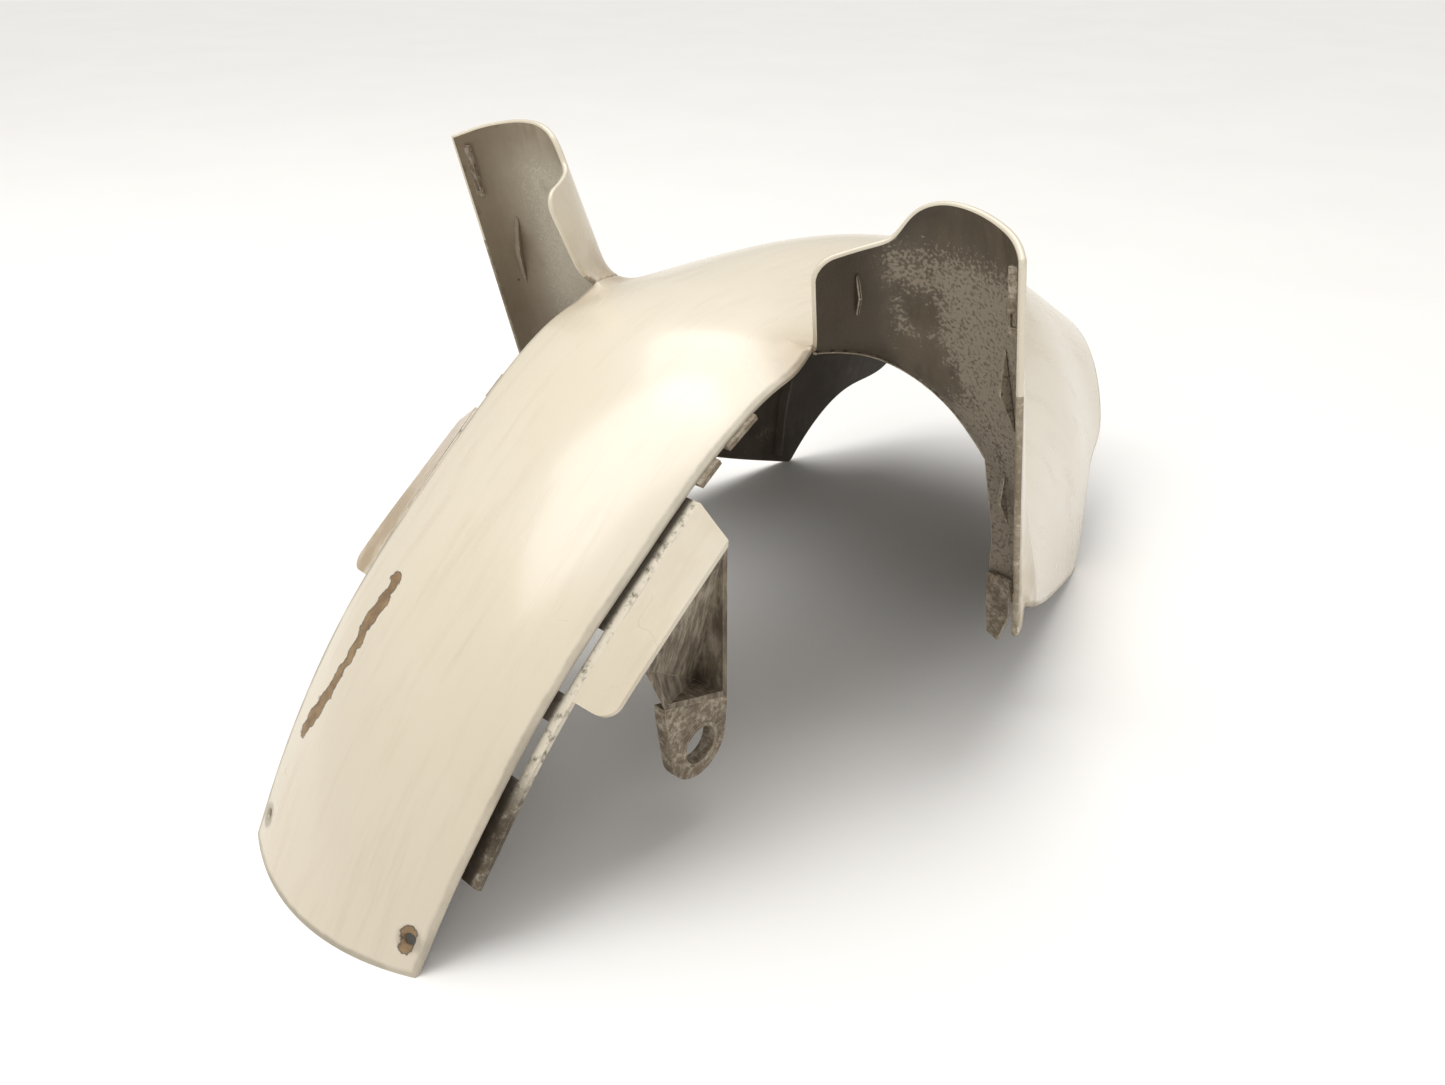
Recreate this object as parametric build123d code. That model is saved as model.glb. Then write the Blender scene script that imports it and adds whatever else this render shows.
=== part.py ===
"""Front mudguard of a small motorcycle: a thin painted moulding with two fork shrouds, in named members.

Working frame: X forward from the tail corners to the nose, Y to the left, Z up from the ground, in mm.
At the end everything is moved so that the origin is the bottom centre of the whole part.
"""
import os
from math import cos, hypot, pi, sin

from build123d import *

# ---- driving dimensions, mm ----------------------------------------------------------------------

WALL = 2.6                   # skin thickness
CROWN_RISE = 10.5            # how far the middle of the crown stands above its side edges
SEAM_X = 203.0               # plane where crown and nose meet
NOSE_X = 507.0               # tip of the nose lip
OUTER_HALF_WIDTH = 145.0     # half width over the fork shrouds

# side edge of the crown, from below the ground line to the seam: (X, half width, Z)
CROWN_EDGE = [(-9, 50.8, -13), (0, 52, 1), (14, 53.5, 23), (32, 55.1, 47.5), (52, 56, 71), (78, 56.7, 95.5),
              (110, 57.6, 120.5), (134, 58.2, 138.5), (153, 59, 151), (177, 60, 163), (SEAM_X, 61.2, 169.7)]
CROWN_STATIONS = 9

# nose stations: X, half width, height of the foot, height of the middle, squareness of the section
NOSE_STATIONS = [
    (SEAM_X, 155, 52, 179.7, 2.0),
    (245, 144.5, 40, 180.5, 2.05),
    (300, 128, 20, 180, 2.15),
    (350, 113.5, 2, 173, 2.2),
    (398, 100.5, -10, 158, 2.25),
    (437, 87.5, -10, 140, 2.25),
    (470, 80.5, -10, 121.5, 2.25),
    (NOSE_X, 73, -10, 101, 2.2),
]
SECTION_STEPS = 6            # points on each half of a nose section

SKIRT_TOE_X = 398.0          # where a skirt's front corner stands on the ground
# lower edge of a skirt, and the nose's front rim: (X, Z)
SKIRT_EDGE = [(240.5, 74), (262, 60.5), (300, 39), (350, 16.5), (SKIRT_TOE_X, 0)]
SPIKE_FRONT_X, SPIKE_Z = 239.5, 63.0     # the tooth left at the foot of a shroud's outer wall
NOSE_RIM = [(SKIRT_TOE_X, 0), (416, 28), (437, 46), (460, 53), (471, 68), (488, 88), (NOSE_X, 101)]

# fork shroud: plan outline at the top level, from the inner rear edge round the front to the outer rear
# edge: (X, share of the way from the inner edge's Y to the outer wall)
SHROUD_TOP_Z = 228.0
SHROUD_TOP_INNER_Y = 72.0
SHROUD_TOP = [(182.6, 0), (199, 0.089), (212, 0.212), (217.5, 0.397), (217, 0.562), (213.5, 0.74),
              (207.5, 0.884), (197.8, 1)]
# the same outline lower down, where the outer corner is squarer
SHROUD_LOW_Z = 60.0
SHROUD_LOW_INNER_Y = 42.5
SHROUD_LOW = [(239.8, 0), (249, 0.054), (257, 0.171), (259, 0.405), (258, 0.639), (256, 0.854),
              (252, 0.966), (237, 1)]
SHROUD_FLOOR_Z = 40.0        # the walls are drawn down to here, then trimmed
SHROUD_HEIGHT = 233.0        # highest point of the rim
SHROUD_CEILING_Z = SHROUD_HEIGHT + 7
OFFSET_STEPS = 12            # points used to draw the inner face of a shroud wall

# top rim of a shroud, seen along X, with the step between its low inner part and its high outer part:
# (distance inside the outer wall, depth below the highest point)
SHROUD_RIM = [(90, 27), (76, 21.5), (67, 18), (61, 15.5), (57, 11), (52, 5), (44, 1), (33, 0),
              (18, 2), (8, 4.7), (0, 8.4), (-7, 12)]
# wheel arch cut in the shroud's front wall, seen along X: (Y, Z)
ARCH = [(52, 163), (62, 167.5), (73, 165.5), (90, 157.5), (104, 146.5), (112.5, 131.5), (118, 113.5),
        (121.5, 96), (121.8, 66)]

# side flange: a strip joggled in under the crown's edge
FLANGE_START_X = 19.5        # along the crown edge, by its X
FLANGE_END_X = 135.5         # the plane that ends the flange and the wing
FLANGE_ROOT = 5.6            # how far inside the crown's edge the flange stands
FLANGE_REACH = 5.4           # how far outside the crown's edge it reaches
FLANGE_WALL = 2.2
JOGGLE_LOW, JOGGLE_HIGH = 6.0, 3.4             # depth of the joggle at the lower and the upper end
SLOTS = [(44.5, 60.5), (68.5, 88.5)]           # two slots through the flange, by the edge's X at each end
SLOT_WIDTH = 6.4

# side wing: the painted ledge outside the flange
WING_START_X = 68.0
WING_HALF_WIDTH = 77.0
WING_DROP_LOW, WING_DROP_HIGH = 9.0, 12.0      # how far its outer edge lies below the crown's edge
WING_CORNER = 7.0            # radius of its lower outer corner

# side bracket: a hollow gusset under the wing, open outwards
BRACKET_FRONT_X = 135.0
# corners of its mouth, in the plane Y = WING_HALF_WIDTH: (X, Z)
BRACKET_CORNERS = [(BRACKET_FRONT_X, 124), (92, 91), (101, 69), (BRACKET_FRONT_X, 56)]
BRACKET_DEPTH = 19.0
BRACKET_TIP_Z = 55.0         # the gusset narrows to a point here, on its front plane
BRACKET_WALL = 2.4

# mounting tab under the bracket
TAB_WALL = 5.5
TAB_HOLE_RADIUS = 8.0
TAB_HOLE_X, TAB_HOLE_Z = 119.0, 42.0
TAB_RADIUS = 15.0
TAB_RIM = 1.6                # width of the raised ring round the hole
TAB_RIM_HEIGHT = 0.8

# tail holes
TAIL_HOLE_RADIUS = 3.0
TAIL_HOLE_Y = 46.0
TAIL_HOLE_X = 5.5            # along the crown edge, by its X

# trim lug inside the shroud's outer wall
LUG_DEPTH = 12.0             # its top below the rim's highest point
LUG_LENGTH = 24.0
LUG_WIDTH = 4.6
LUG_WALL = 2.0
LUG_HOLE_WIDTH, LUG_HOLE_HEIGHT = 2.4, 5.0
LUG_SETBACK = 1.2            # from the shroud's rear edge

# fins inside a shroud: bottom Z, top Z, share round the outline at the bottom and at the top, height, thickness
SHROUD_RIBS = [
    (146, 192, 0.87, 0.80, 5.0, 2.0),
    (100, 136, 0.80, 0.78, 4.0, 1.8),
    (178, 213, 0.16, 0.17, 4.0, 1.4),
]

# broken tongue at the foot of the shroud's front wall
TONGUE_WALL = 2.4
TONGUE = [(122.3, 78), (134, 78), (133, 58), (127, 40), (121.5, 43), (121.3, 62)]     # (Y, Z)

# upright rib inside each skirt
SKIRT_RIB_X = 386.0
SKIRT_RIB_HEIGHT = 5.0
SKIRT_RIB_WALL = 1.8
SKIRT_RIB_BOTTOM_Z, SKIRT_RIB_TOP_Z = 9.0, 62.0

# hook remnants on the crown's edge: X at the start, X at the end, reach
EDGE_HOOKS = [(138, 148, 2.6), (153, 168, 2.0)]
HOOK_WALL = 2.2

Y_AXIS = Vector(0, 1, 0)
FAR = 400.0                  # a length past the whole part, for cutters


# ---- helpers -------------------------------------------------------------------------------------

crown_edge = Spline(*[Vector(*row) for row in CROWN_EDGE])


def station(share):
    """Middle point between the crown's edges, and the outward normal, at a share of the edge's length."""
    point = crown_edge.position_at(share)
    along = crown_edge.tangent_at(share)
    return Vector(point.X, 0, point.Z), Vector(-along.Z, 0, along.X).normalized()


def half_width_at(share):
    """Half width of the crown at a share of its edge's length."""
    return crown_edge.position_at(share).Y


def share_at(x):
    """The share of the crown edge's length at which it reaches X, found by halving."""
    low, high = 0.0, 1.0
    for _ in range(30):
        middle = (low + high) / 2
        if crown_edge.position_at(middle).X < x:
            low = middle
        else:
            high = middle
    return low


def place(point, normal, y, out):
    """Point at a distance y across and out along the normal from a station."""
    return point + normal * out + Y_AXIS * y


def blend(low, high, share):
    """Value between low and high."""
    return low + (high - low) * share


def polygon_wire(points):
    return Wire.make_polygon(points, close=True)


def side_view_cutter(curve, close_points, half_width=FAR):
    """Solid across the whole width under or over a curve given as (X, Z)."""
    top = Spline(*[Vector(x, 0, z) for x, z in curve])
    rest = Polyline(*[Vector(x, 0, z) for x, z in [curve[-1], *close_points, curve[0]]])
    face = Face(Wire([top, *rest.edges()]))
    return extrude(face, half_width, dir=Y_AXIS, both=True)


def end_view_cutter(curve, close_points):
    """Solid along the whole length under or over a curve given as (Y, Z)."""
    top = Spline(*[Vector(0, y, z) for y, z in curve])
    rest = Polyline(*[Vector(0, y, z) for y, z in [curve[-1], *close_points, curve[0]]])
    face = Face(Wire([top, *rest.edges()]))
    return extrude(face, FAR, dir=Vector(1, 0, 0))


def other_side(solid):
    """The mirrored copy on the right."""
    return mirror(solid, Plane.XZ)


# ---- crown ---------------------------------------------------------------------------------------


def crown_section(share):
    """Closed outline of the crown: two concentric arcs across the station."""
    point, normal = station(share)
    if share == 1:
        point, normal = Vector(SEAM_X, 0, point.Z), Vector(0, 0, 1)
    half = half_width_at(share)
    radius = (half ** 2 + CROWN_RISE ** 2) / (2 * CROWN_RISE)
    inner = (radius - WALL) / radius
    drop = (radius - CROWN_RISE) * (1 - inner)
    outer_arc = Edge.make_three_point_arc(
        place(point, normal, half, 0), place(point, normal, 0, CROWN_RISE), place(point, normal, -half, 0))
    inner_arc = Edge.make_three_point_arc(
        place(point, normal, -half * inner, -drop), place(point, normal, 0, CROWN_RISE - WALL),
        place(point, normal, half * inner, -drop))
    sides = [Edge.make_line(outer_arc @ 1, inner_arc @ 0), Edge.make_line(inner_arc @ 1, outer_arc @ 0)]
    return Wire([outer_arc, sides[0], inner_arc, sides[1]])


def tail_hole(side):
    point, normal = station(share_at(TAIL_HOLE_X))
    plane = Plane(origin=place(point, normal, side * TAIL_HOLE_Y, -15), z_dir=normal)
    return plane * Cylinder(TAIL_HOLE_RADIUS, 30, align=(Align.CENTER, Align.CENTER, Align.MIN))


def make_crown():
    sections = [crown_section(i / (CROWN_STATIONS - 1)) for i in range(CROWN_STATIONS)]
    shell = Solid.make_loft(sections)
    ground = Pos(0, 0, -50) * Box(FAR, FAR, 100)
    return shell - ground - tail_hole(1) - tail_hole(-1)


# ---- nose ----------------------------------------------------------------------------------------


def nose_curve(x, half, foot, middle, power):
    """Squared-off half ellipse across the nose at X."""
    points = []
    for i in range(2 * SECTION_STEPS + 1):
        angle = pi * i / (2 * SECTION_STEPS)
        side = 1 if cos(angle) > 0 else -1
        y = side * half * abs(cos(angle)) ** (2 / power)
        z = foot + (middle - foot) * sin(angle) ** (2 / power)
        points.append(Vector(x, y, z))
    return Edge.make_spline(points)


def nose_section(x, half, foot, middle, power):
    outer = nose_curve(x, half, foot, middle, power)
    inner = nose_curve(x, half - WALL, foot, middle - WALL, power)
    feet = [Edge.make_line(outer @ 0, inner @ 0), Edge.make_line(outer @ 1, inner @ 1)]
    return Wire([outer, feet[0], inner, feet[1]])


def skirt_cutter():
    """Everything below the skirts' lower edges."""
    back = SPIKE_FRONT_X - 60
    return side_view_cutter(
        SKIRT_EDGE, [(SKIRT_TOE_X, -60), (back, -60), (back, SPIKE_Z), (SPIKE_FRONT_X, SPIKE_Z)])


def nose_rim_cutter():
    """Everything below the nose's front rim."""
    return side_view_cutter(NOSE_RIM, [(NOSE_X + 40, 101), (NOSE_X + 40, -60), (SKIRT_TOE_X, -60)])


def make_nose(shroud_space):
    shell = Solid.make_loft([nose_section(*row) for row in NOSE_STATIONS])
    shell = shell - skirt_cutter() - nose_rim_cutter()
    for space in (shroud_space, other_side(shroud_space)):
        shell = shell - space
    return max(shell.solids(), key=lambda s: s.volume)


# ---- fork shroud ---------------------------------------------------------------------------------


def shroud_outline(z):
    """Plan outline of the shroud's outer face at a height, as a spline."""
    share = (z - SHROUD_LOW_Z) / (SHROUD_TOP_Z - SHROUD_LOW_Z)
    points = []
    for low, top in zip(SHROUD_LOW, SHROUD_TOP):
        low_y = blend(SHROUD_LOW_INNER_Y, OUTER_HALF_WIDTH, low[1])
        top_y = blend(SHROUD_TOP_INNER_Y, OUTER_HALF_WIDTH, top[1])
        points.append(Vector(blend(low[0], top[0], share), blend(low_y, top_y, share), z))
    return Edge.make_spline(points)


def offset_outline(edge, distance):
    """The same outline moved towards the channel."""
    points = []
    for i in range(OFFSET_STEPS + 1):
        along = edge.tangent_at(i / OFFSET_STEPS)
        inward = Vector(-along.Y, along.X, 0)
        points.append(edge.position_at(i / OFFSET_STEPS) + inward.normalized() * distance)
    return Edge.make_spline(points)


def shroud_wall(first_offset, last_offset):
    """Wall between two offsets of the outline, from the floor level to the ceiling level."""
    wires = []
    for z in (SHROUD_FLOOR_Z, SHROUD_CEILING_Z):
        outer = offset_outline(shroud_outline(z), first_offset)
        inner = offset_outline(shroud_outline(z), last_offset)
        ends = [Edge.make_line(outer @ 0, inner @ 0), Edge.make_line(outer @ 1, inner @ 1)]
        wires.append(Wire([outer, ends[0], inner, ends[1]]))
    return Solid.make_loft(wires, ruled=True)


def shroud_space():
    """The room of a shroud and its channel, with everything outside and behind it, cut from the nose."""
    wires = []
    for z in (SHROUD_FLOOR_Z, SHROUD_CEILING_Z):
        outer = offset_outline(shroud_outline(z), 0)
        start, end = outer @ 0, outer @ 1
        back = start.X - 90
        side = OUTER_HALF_WIDTH + 40
        corner = outer.position_at(0.9)
        corners = [end, Vector(corner.X, side, z), Vector(back, side, z), Vector(back, start.Y, z), start]
        lines = [Edge.make_line(a, b) for a, b in zip(corners, corners[1:])]
        wires.append(Wire([outer, *lines]))
    return Solid.make_loft(wires, ruled=True)


def make_shroud(crown):
    wall = shroud_wall(0, WALL)
    rim = [(OUTER_HALF_WIDTH - inside, SHROUD_HEIGHT - below) for inside, below in SHROUD_RIM]
    over = SHROUD_CEILING_Z + 20
    above = end_view_cutter(rim, [(rim[-1][0], over), (30, over), (30, rim[0][1])])
    below = end_view_cutter(ARCH, [(ARCH[-1][0], 20), (20, 20), (20, 163)])
    wall = wall - above - below - skirt_cutter() - crown
    return max(wall.solids(), key=lambda s: s.volume)


# ---- side flange and wing ------------------------------------------------------------------------


FLANGE_START = share_at(FLANGE_START_X)
FLANGE_END = share_at(FLANGE_END_X)
WING_START = share_at(WING_START_X)
PAST_END = share_at(FLANGE_END_X + 9)          # flange and wing are drawn to here, then trimmed upright


def past_end_cutter():
    """Everything in front of the plane that ends the flange and the wing."""
    return Pos(FLANGE_END_X + FAR / 2, 0, FAR / 2) * Box(FAR, FAR, FAR)


def joggle_at(share):
    return blend(JOGGLE_LOW, JOGGLE_HIGH, (share - FLANGE_START) / (FLANGE_END - FLANGE_START))


def flange_section(share):
    """L-shaped section: a riser under the skin and a strip reaching out past the skin's edge."""
    point, normal = station(share)
    half = half_width_at(share)
    root = half - FLANGE_ROOT
    reach = half + FLANGE_REACH
    depth = joggle_at(share)
    outline = [
        (root - FLANGE_WALL, 0.5), (root, 0.5), (root, -depth), (reach, -depth),
        (reach, -depth - FLANGE_WALL), (root - FLANGE_WALL, -depth - FLANGE_WALL),
    ]
    return polygon_wire([place(point, normal, y, out) for y, out in outline])


def slot_cutter(first, last):
    """Slot through the flange between two places along the edge."""
    sections = []
    for i in range(3):
        share = blend(share_at(first), share_at(last), i / 2)
        point, normal = station(share)
        near = half_width_at(share) - FLANGE_ROOT + 0.4
        depth = joggle_at(share)
        outline = [(near, 1 - depth), (near + SLOT_WIDTH, 1 - depth),
                   (near + SLOT_WIDTH, -depth - 5), (near, -depth - 5)]
        sections.append(polygon_wire([place(point, normal, y, out) for y, out in outline]))
    return Solid.make_loft(sections)


def shares_between(first, last, count):
    return [blend(first, last, i / (count - 1)) for i in range(count)]


def make_flange(crown):
    strip = Solid.make_loft([flange_section(s) for s in shares_between(FLANGE_START, PAST_END, 6)])
    for first, last in SLOTS:
        strip = strip - slot_cutter(first, last)
    strip = strip - crown - past_end_cutter()
    return max(strip.solids(), key=lambda s: s.volume)


def wing_drop_at(share):
    return blend(WING_DROP_LOW, WING_DROP_HIGH, (share - WING_START) / (FLANGE_END - WING_START))


def wing_section(share):
    """Sloping ledge from the flange's outer edge out to the wing's edge."""
    point, normal = station(share)
    near = half_width_at(share) + FLANGE_REACH
    depth = joggle_at(share)
    drop = wing_drop_at(share)
    outline = [(near, -depth), (WING_HALF_WIDTH, -drop),
               (WING_HALF_WIDTH, -drop - FLANGE_WALL), (near, -depth - FLANGE_WALL)]
    return polygon_wire([place(point, normal, y, out) for y, out in outline])


def wing_corner_cutter():
    """What lies outside the round of the wing's lower outer corner."""
    point, normal = station(WING_START)
    along = Y_AXIS.cross(normal)
    plane = Plane(origin=place(point, normal, WING_HALF_WIDTH, 0), x_dir=along, z_dir=normal)
    corner = Pos(WING_CORNER / 2, -WING_CORNER / 2) * Rectangle(WING_CORNER, WING_CORNER)
    kept = Pos(WING_CORNER, -WING_CORNER) * Circle(WING_CORNER)
    return extrude(plane * (corner - kept), 40, both=True)


def make_wing(flange):
    plate = Solid.make_loft([wing_section(s) for s in shares_between(WING_START, PAST_END, 5)])
    plate = plate - wing_corner_cutter() - past_end_cutter() - flange
    return max(plate.solids(), key=lambda s: s.volume)


# ---- side bracket and tab ------------------------------------------------------------------------


def gusset(corners, mouth_y, tip):
    """Pyramid from a four-cornered mouth to its tip."""
    mouth = polygon_wire([Vector(x, mouth_y, z) for x, z in corners])
    return Solid.make_loft([mouth, Vertex(*tip)], ruled=True)


def inset_corners(corners, distance):
    """The corners moved towards the inside of the outline by a distance."""
    outline = Face(polygon_wire([Vector(x, z, 0) for x, z in corners]))
    inner = offset(outline, -distance)
    points = [v.center() for v in inner.vertices()]
    ordered = [min(points, key=lambda p: hypot(p.X - x, p.Y - z)) for x, z in corners]
    return [(p.X, p.Y) for p in ordered]


def make_bracket(wing):
    tip_y = WING_HALF_WIDTH - BRACKET_DEPTH
    outer = gusset(BRACKET_CORNERS, WING_HALF_WIDTH, (BRACKET_FRONT_X, tip_y, BRACKET_TIP_Z))
    mouth = inset_corners(BRACKET_CORNERS, BRACKET_WALL)
    tip = (BRACKET_FRONT_X - BRACKET_WALL, tip_y + BRACKET_WALL * 1.6, BRACKET_TIP_Z + BRACKET_WALL)
    hollow = gusset(mouth, WING_HALF_WIDTH, tip)
    lip = extrude(Face(polygon_wire([Vector(x, WING_HALF_WIDTH, z) for x, z in mouth])), 4, dir=Y_AXIS)
    body = outer - hollow - lip - wing
    return max(body.solids(), key=lambda s: s.volume)


def make_tab(bracket):
    left, right = BRACKET_CORNERS[2], BRACKET_CORNERS[3]
    lift = 6
    round_end = Pos(TAB_HOLE_X, TAB_HOLE_Z) * Circle(TAB_RADIUS)
    top = Polyline((left[0], left[1] + lift), (right[0], right[1] + lift), (right[0], right[1] - 4),
                   (left[0], left[1] - 4), (left[0], left[1] + lift))
    outline = make_hull([*round_end.edges(), *top.edges()])
    hole = Pos(TAB_HOLE_X, TAB_HOLE_Z) * Circle(TAB_HOLE_RADIUS)
    ring = Pos(TAB_HOLE_X, TAB_HOLE_Z) * Circle(TAB_HOLE_RADIUS + TAB_RIM)
    upright = Plane(origin=(0, WING_HALF_WIDTH, 0), x_dir=(1, 0, 0), z_dir=(0, -1, 0))
    plate = extrude(upright * (outline - hole), TAB_WALL)
    rim = extrude(upright * (ring - hole), -TAB_RIM_HEIGHT)
    (x1, z1), (x2, z2) = left, right
    above = extrude(Face(polygon_wire([
        Vector(x1 - 20, 0, z1 + 20 * (z1 - z2) / (x2 - x1)), Vector(x2 + 20, 0, z2 - 20 * (z1 - z2) / (x2 - x1)),
        Vector(x2 + 20, 0, 140), Vector(x1 - 20, 0, 140)])), FAR, dir=Y_AXIS)
    tab = plate + rim - above - bracket
    return max(tab.solids(), key=lambda s: s.volume)


# ---- small members -------------------------------------------------------------------------------


def wall_point(z, share, depth):
    """Point in or on a shroud's wall: a height, a place round the outline, and a depth towards the channel."""
    edge = shroud_outline(z)
    along = edge.tangent_at(share)
    return edge.position_at(share) + Vector(-along.Y, along.X, 0).normalized() * depth


def make_lug(outside):
    """Small upright plate with a square hole, on the inside of the outer wall."""
    outer = OUTER_HALF_WIDTH
    inner = outer - WALL - LUG_WIDTH
    sections = []
    top = SHROUD_HEIGHT - LUG_DEPTH
    for z in (top - LUG_LENGTH, top):
        rear = (shroud_outline(z) @ 1).X + LUG_SETBACK
        sections.append(polygon_wire([
            Vector(rear, inner, z), Vector(rear, outer, z),
            Vector(rear + LUG_WALL, outer, z), Vector(rear + LUG_WALL, inner, z)]))
    plate = Solid.make_loft(sections, ruled=True)
    hole_z = top - LUG_LENGTH + LUG_HOLE_HEIGHT
    hole_x = (shroud_outline(hole_z) @ 1).X + LUG_SETBACK
    hole_y = inner + 0.9 + LUG_HOLE_WIDTH / 2
    plate = plate - Pos(hole_x, hole_y, hole_z) * Box(12, LUG_HOLE_WIDTH, LUG_HOLE_HEIGHT)
    return max((plate - outside).solids(), key=lambda s: s.volume)


def make_shroud_rib(outside, bottom, top, low_share, high_share, height, thickness):
    """Thin tapered fin standing on the inside of the shroud's wall."""
    middle, middle_share = (bottom + top) / 2, (low_share + high_share) / 2
    profile = polygon_wire([
        wall_point(bottom, low_share, WALL / 2), wall_point(middle, middle_share, WALL + height),
        wall_point(top, high_share, WALL / 2)])
    fin = extrude(Face(profile), thickness / 2, both=True)
    return max((fin - outside).solids(), key=lambda s: s.volume)


def make_tongue(shroud):
    """Stub of the tongue under the shroud's front wall, standing on the wall's channel side."""
    face = Face(polygon_wire([Vector(SKIRT_EDGE[0][0] - 20, y, z) for y, z in TONGUE]))
    plate = extrude(face, 60, dir=Vector(1, 0, 0))
    stub = plate & shroud_wall(WALL, WALL + TONGUE_WALL)
    return max((stub - shroud).solids(), key=lambda s: s.volume)


def make_skirt_rib(nose):
    """Upright fin on the inside of a skirt."""
    fin = Pos(SKIRT_RIB_X, 97, (SKIRT_RIB_BOTTOM_Z + SKIRT_RIB_TOP_Z) / 2) * Box(
        SKIRT_RIB_WALL, 22, SKIRT_RIB_TOP_Z - SKIRT_RIB_BOTTOM_Z)
    row = [blend(a, b, (SKIRT_RIB_X - 350) / 48) for a, b in zip(NOSE_STATIONS[3], NOSE_STATIONS[4])]
    inside_half = row[1] - WALL - SKIRT_RIB_HEIGHT
    inside = extrude(Face(Wire([
        nose_curve(SKIRT_RIB_X, inside_half, row[2], row[3] - WALL - SKIRT_RIB_HEIGHT, row[4]),
        Edge.make_line(Vector(SKIRT_RIB_X, -inside_half, row[2]), Vector(SKIRT_RIB_X, inside_half, row[2]))])),
        20, dir=Vector(1, 0, 0), both=True)
    pieces = (fin - inside - nose).solids()
    return min(pieces, key=lambda s: abs(s.center().Y))


def make_edge_hooks(crown):
    """Stubs of the broken hooks on the crown's side edge."""
    stubs = []
    for first, last, reach in EDGE_HOOKS:
        sections = []
        for share in (share_at(first), share_at(last)):
            point, normal = station(share)
            half = half_width_at(share)
            outline = [(half - 3, -0.3), (half + reach, -1.6), (half + reach, -1.6 - HOOK_WALL),
                       (half - 3, -0.3 - HOOK_WALL - 1.5)]
            sections.append(polygon_wire([place(point, normal, y, out) for y, out in outline]))
        block = Solid.make_loft(sections, ruled=True) - crown
        stubs.append(max(block.solids(), key=lambda s: s.volume))
    return Compound(children=stubs)


# ---- the whole part ------------------------------------------------------------------------------


def build():
    """Every member by node name."""
    space = shroud_space()
    crown = make_crown()
    nose = make_nose(space)
    shroud = make_shroud(crown)
    flange = make_flange(crown)
    wing = make_wing(flange)
    bracket = make_bracket(wing)
    outside = shroud_wall(-30, WALL)
    ribs = Compound(children=[make_shroud_rib(outside, *row) for row in SHROUD_RIBS])
    left = {
        "fork_shroud": shroud,
        "side_flange": flange,
        "side_wing": wing,
        "side_bracket": bracket,
        "mount_tab": make_tab(bracket),
        "trim_lug": make_lug(outside),
        "shroud_ribs": ribs,
        "shroud_tongue": make_tongue(shroud),
        "skirt_rib": make_skirt_rib(nose),
        "edge_hooks": make_edge_hooks(crown),
    }
    nodes = {"crown_shell": crown, "nose_shell": nose}
    for name, solid in left.items():
        nodes[f"left_{name}"] = solid
        nodes[f"right_{name}"] = other_side(solid)
    return nodes


def main():
    os.makedirs("parts", exist_ok=True)
    nodes = build()
    boxes = [node.bounding_box() for node in nodes.values()]
    back = min(box.min.X for box in boxes)
    front = max(box.max.X for box in boxes)
    to_origin = Pos(-(back + front) / 2, 0, 0)
    for name, node in nodes.items():
        export_step(to_origin * node, f"parts/{name}.step")
    print("moved by", -(back + front) / 2)


main()
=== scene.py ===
"""Looks of a used motorcycle front mudguard, built around its fixed CAD frame.

The mesh code works in millimetres in the moulding's own working frame: X forward from the tail, Y to the
left, Z up from the ground. to_row() turns such points into the frame's metres.
"""

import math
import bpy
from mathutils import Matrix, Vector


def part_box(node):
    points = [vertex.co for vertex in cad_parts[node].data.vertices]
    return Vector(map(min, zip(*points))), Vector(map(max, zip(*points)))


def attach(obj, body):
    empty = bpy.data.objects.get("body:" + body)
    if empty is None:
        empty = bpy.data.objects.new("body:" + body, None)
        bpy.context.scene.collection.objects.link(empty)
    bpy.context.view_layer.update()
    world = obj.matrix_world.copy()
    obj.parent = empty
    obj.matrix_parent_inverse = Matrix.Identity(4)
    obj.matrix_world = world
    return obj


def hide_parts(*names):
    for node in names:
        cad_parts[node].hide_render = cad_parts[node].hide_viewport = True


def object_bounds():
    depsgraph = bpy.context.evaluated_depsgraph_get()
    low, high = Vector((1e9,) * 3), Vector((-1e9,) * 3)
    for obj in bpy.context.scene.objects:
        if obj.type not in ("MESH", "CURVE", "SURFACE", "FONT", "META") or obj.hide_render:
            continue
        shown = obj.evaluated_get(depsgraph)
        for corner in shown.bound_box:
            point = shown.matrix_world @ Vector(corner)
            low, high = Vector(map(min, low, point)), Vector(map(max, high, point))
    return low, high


bl_info = {
    "name": "Used Front Mudguard",
    "version": (1, 0, 0),
    "blender": (4, 5, 0),
    "location": "View3D > Sidebar > Mudguard",
    "description": "Painted skins, grimy fork shrouds and worn brackets of a used front mudguard",
    "category": "Add Mesh",
}

import bmesh
import bpy
import numpy as np
from bpy.props import FloatProperty, FloatVectorProperty, PointerProperty
from mathutils import Vector

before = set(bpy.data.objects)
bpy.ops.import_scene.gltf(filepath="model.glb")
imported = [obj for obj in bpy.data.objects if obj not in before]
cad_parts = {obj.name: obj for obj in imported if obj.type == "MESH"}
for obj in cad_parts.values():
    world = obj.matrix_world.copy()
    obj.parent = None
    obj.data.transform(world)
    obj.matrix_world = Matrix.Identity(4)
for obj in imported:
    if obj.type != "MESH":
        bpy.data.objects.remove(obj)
CAD_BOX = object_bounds()

MM = 0.001
SIDES = ("left", "right")

# ---- shape of the moulding, mm ------------------------------------------------------------------

SEAM_X, NOSE_X = 203.0, 507.0
SHIFT_X = NOSE_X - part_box("nose_shell")[1].x / MM      # working frame to the row frame

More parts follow.
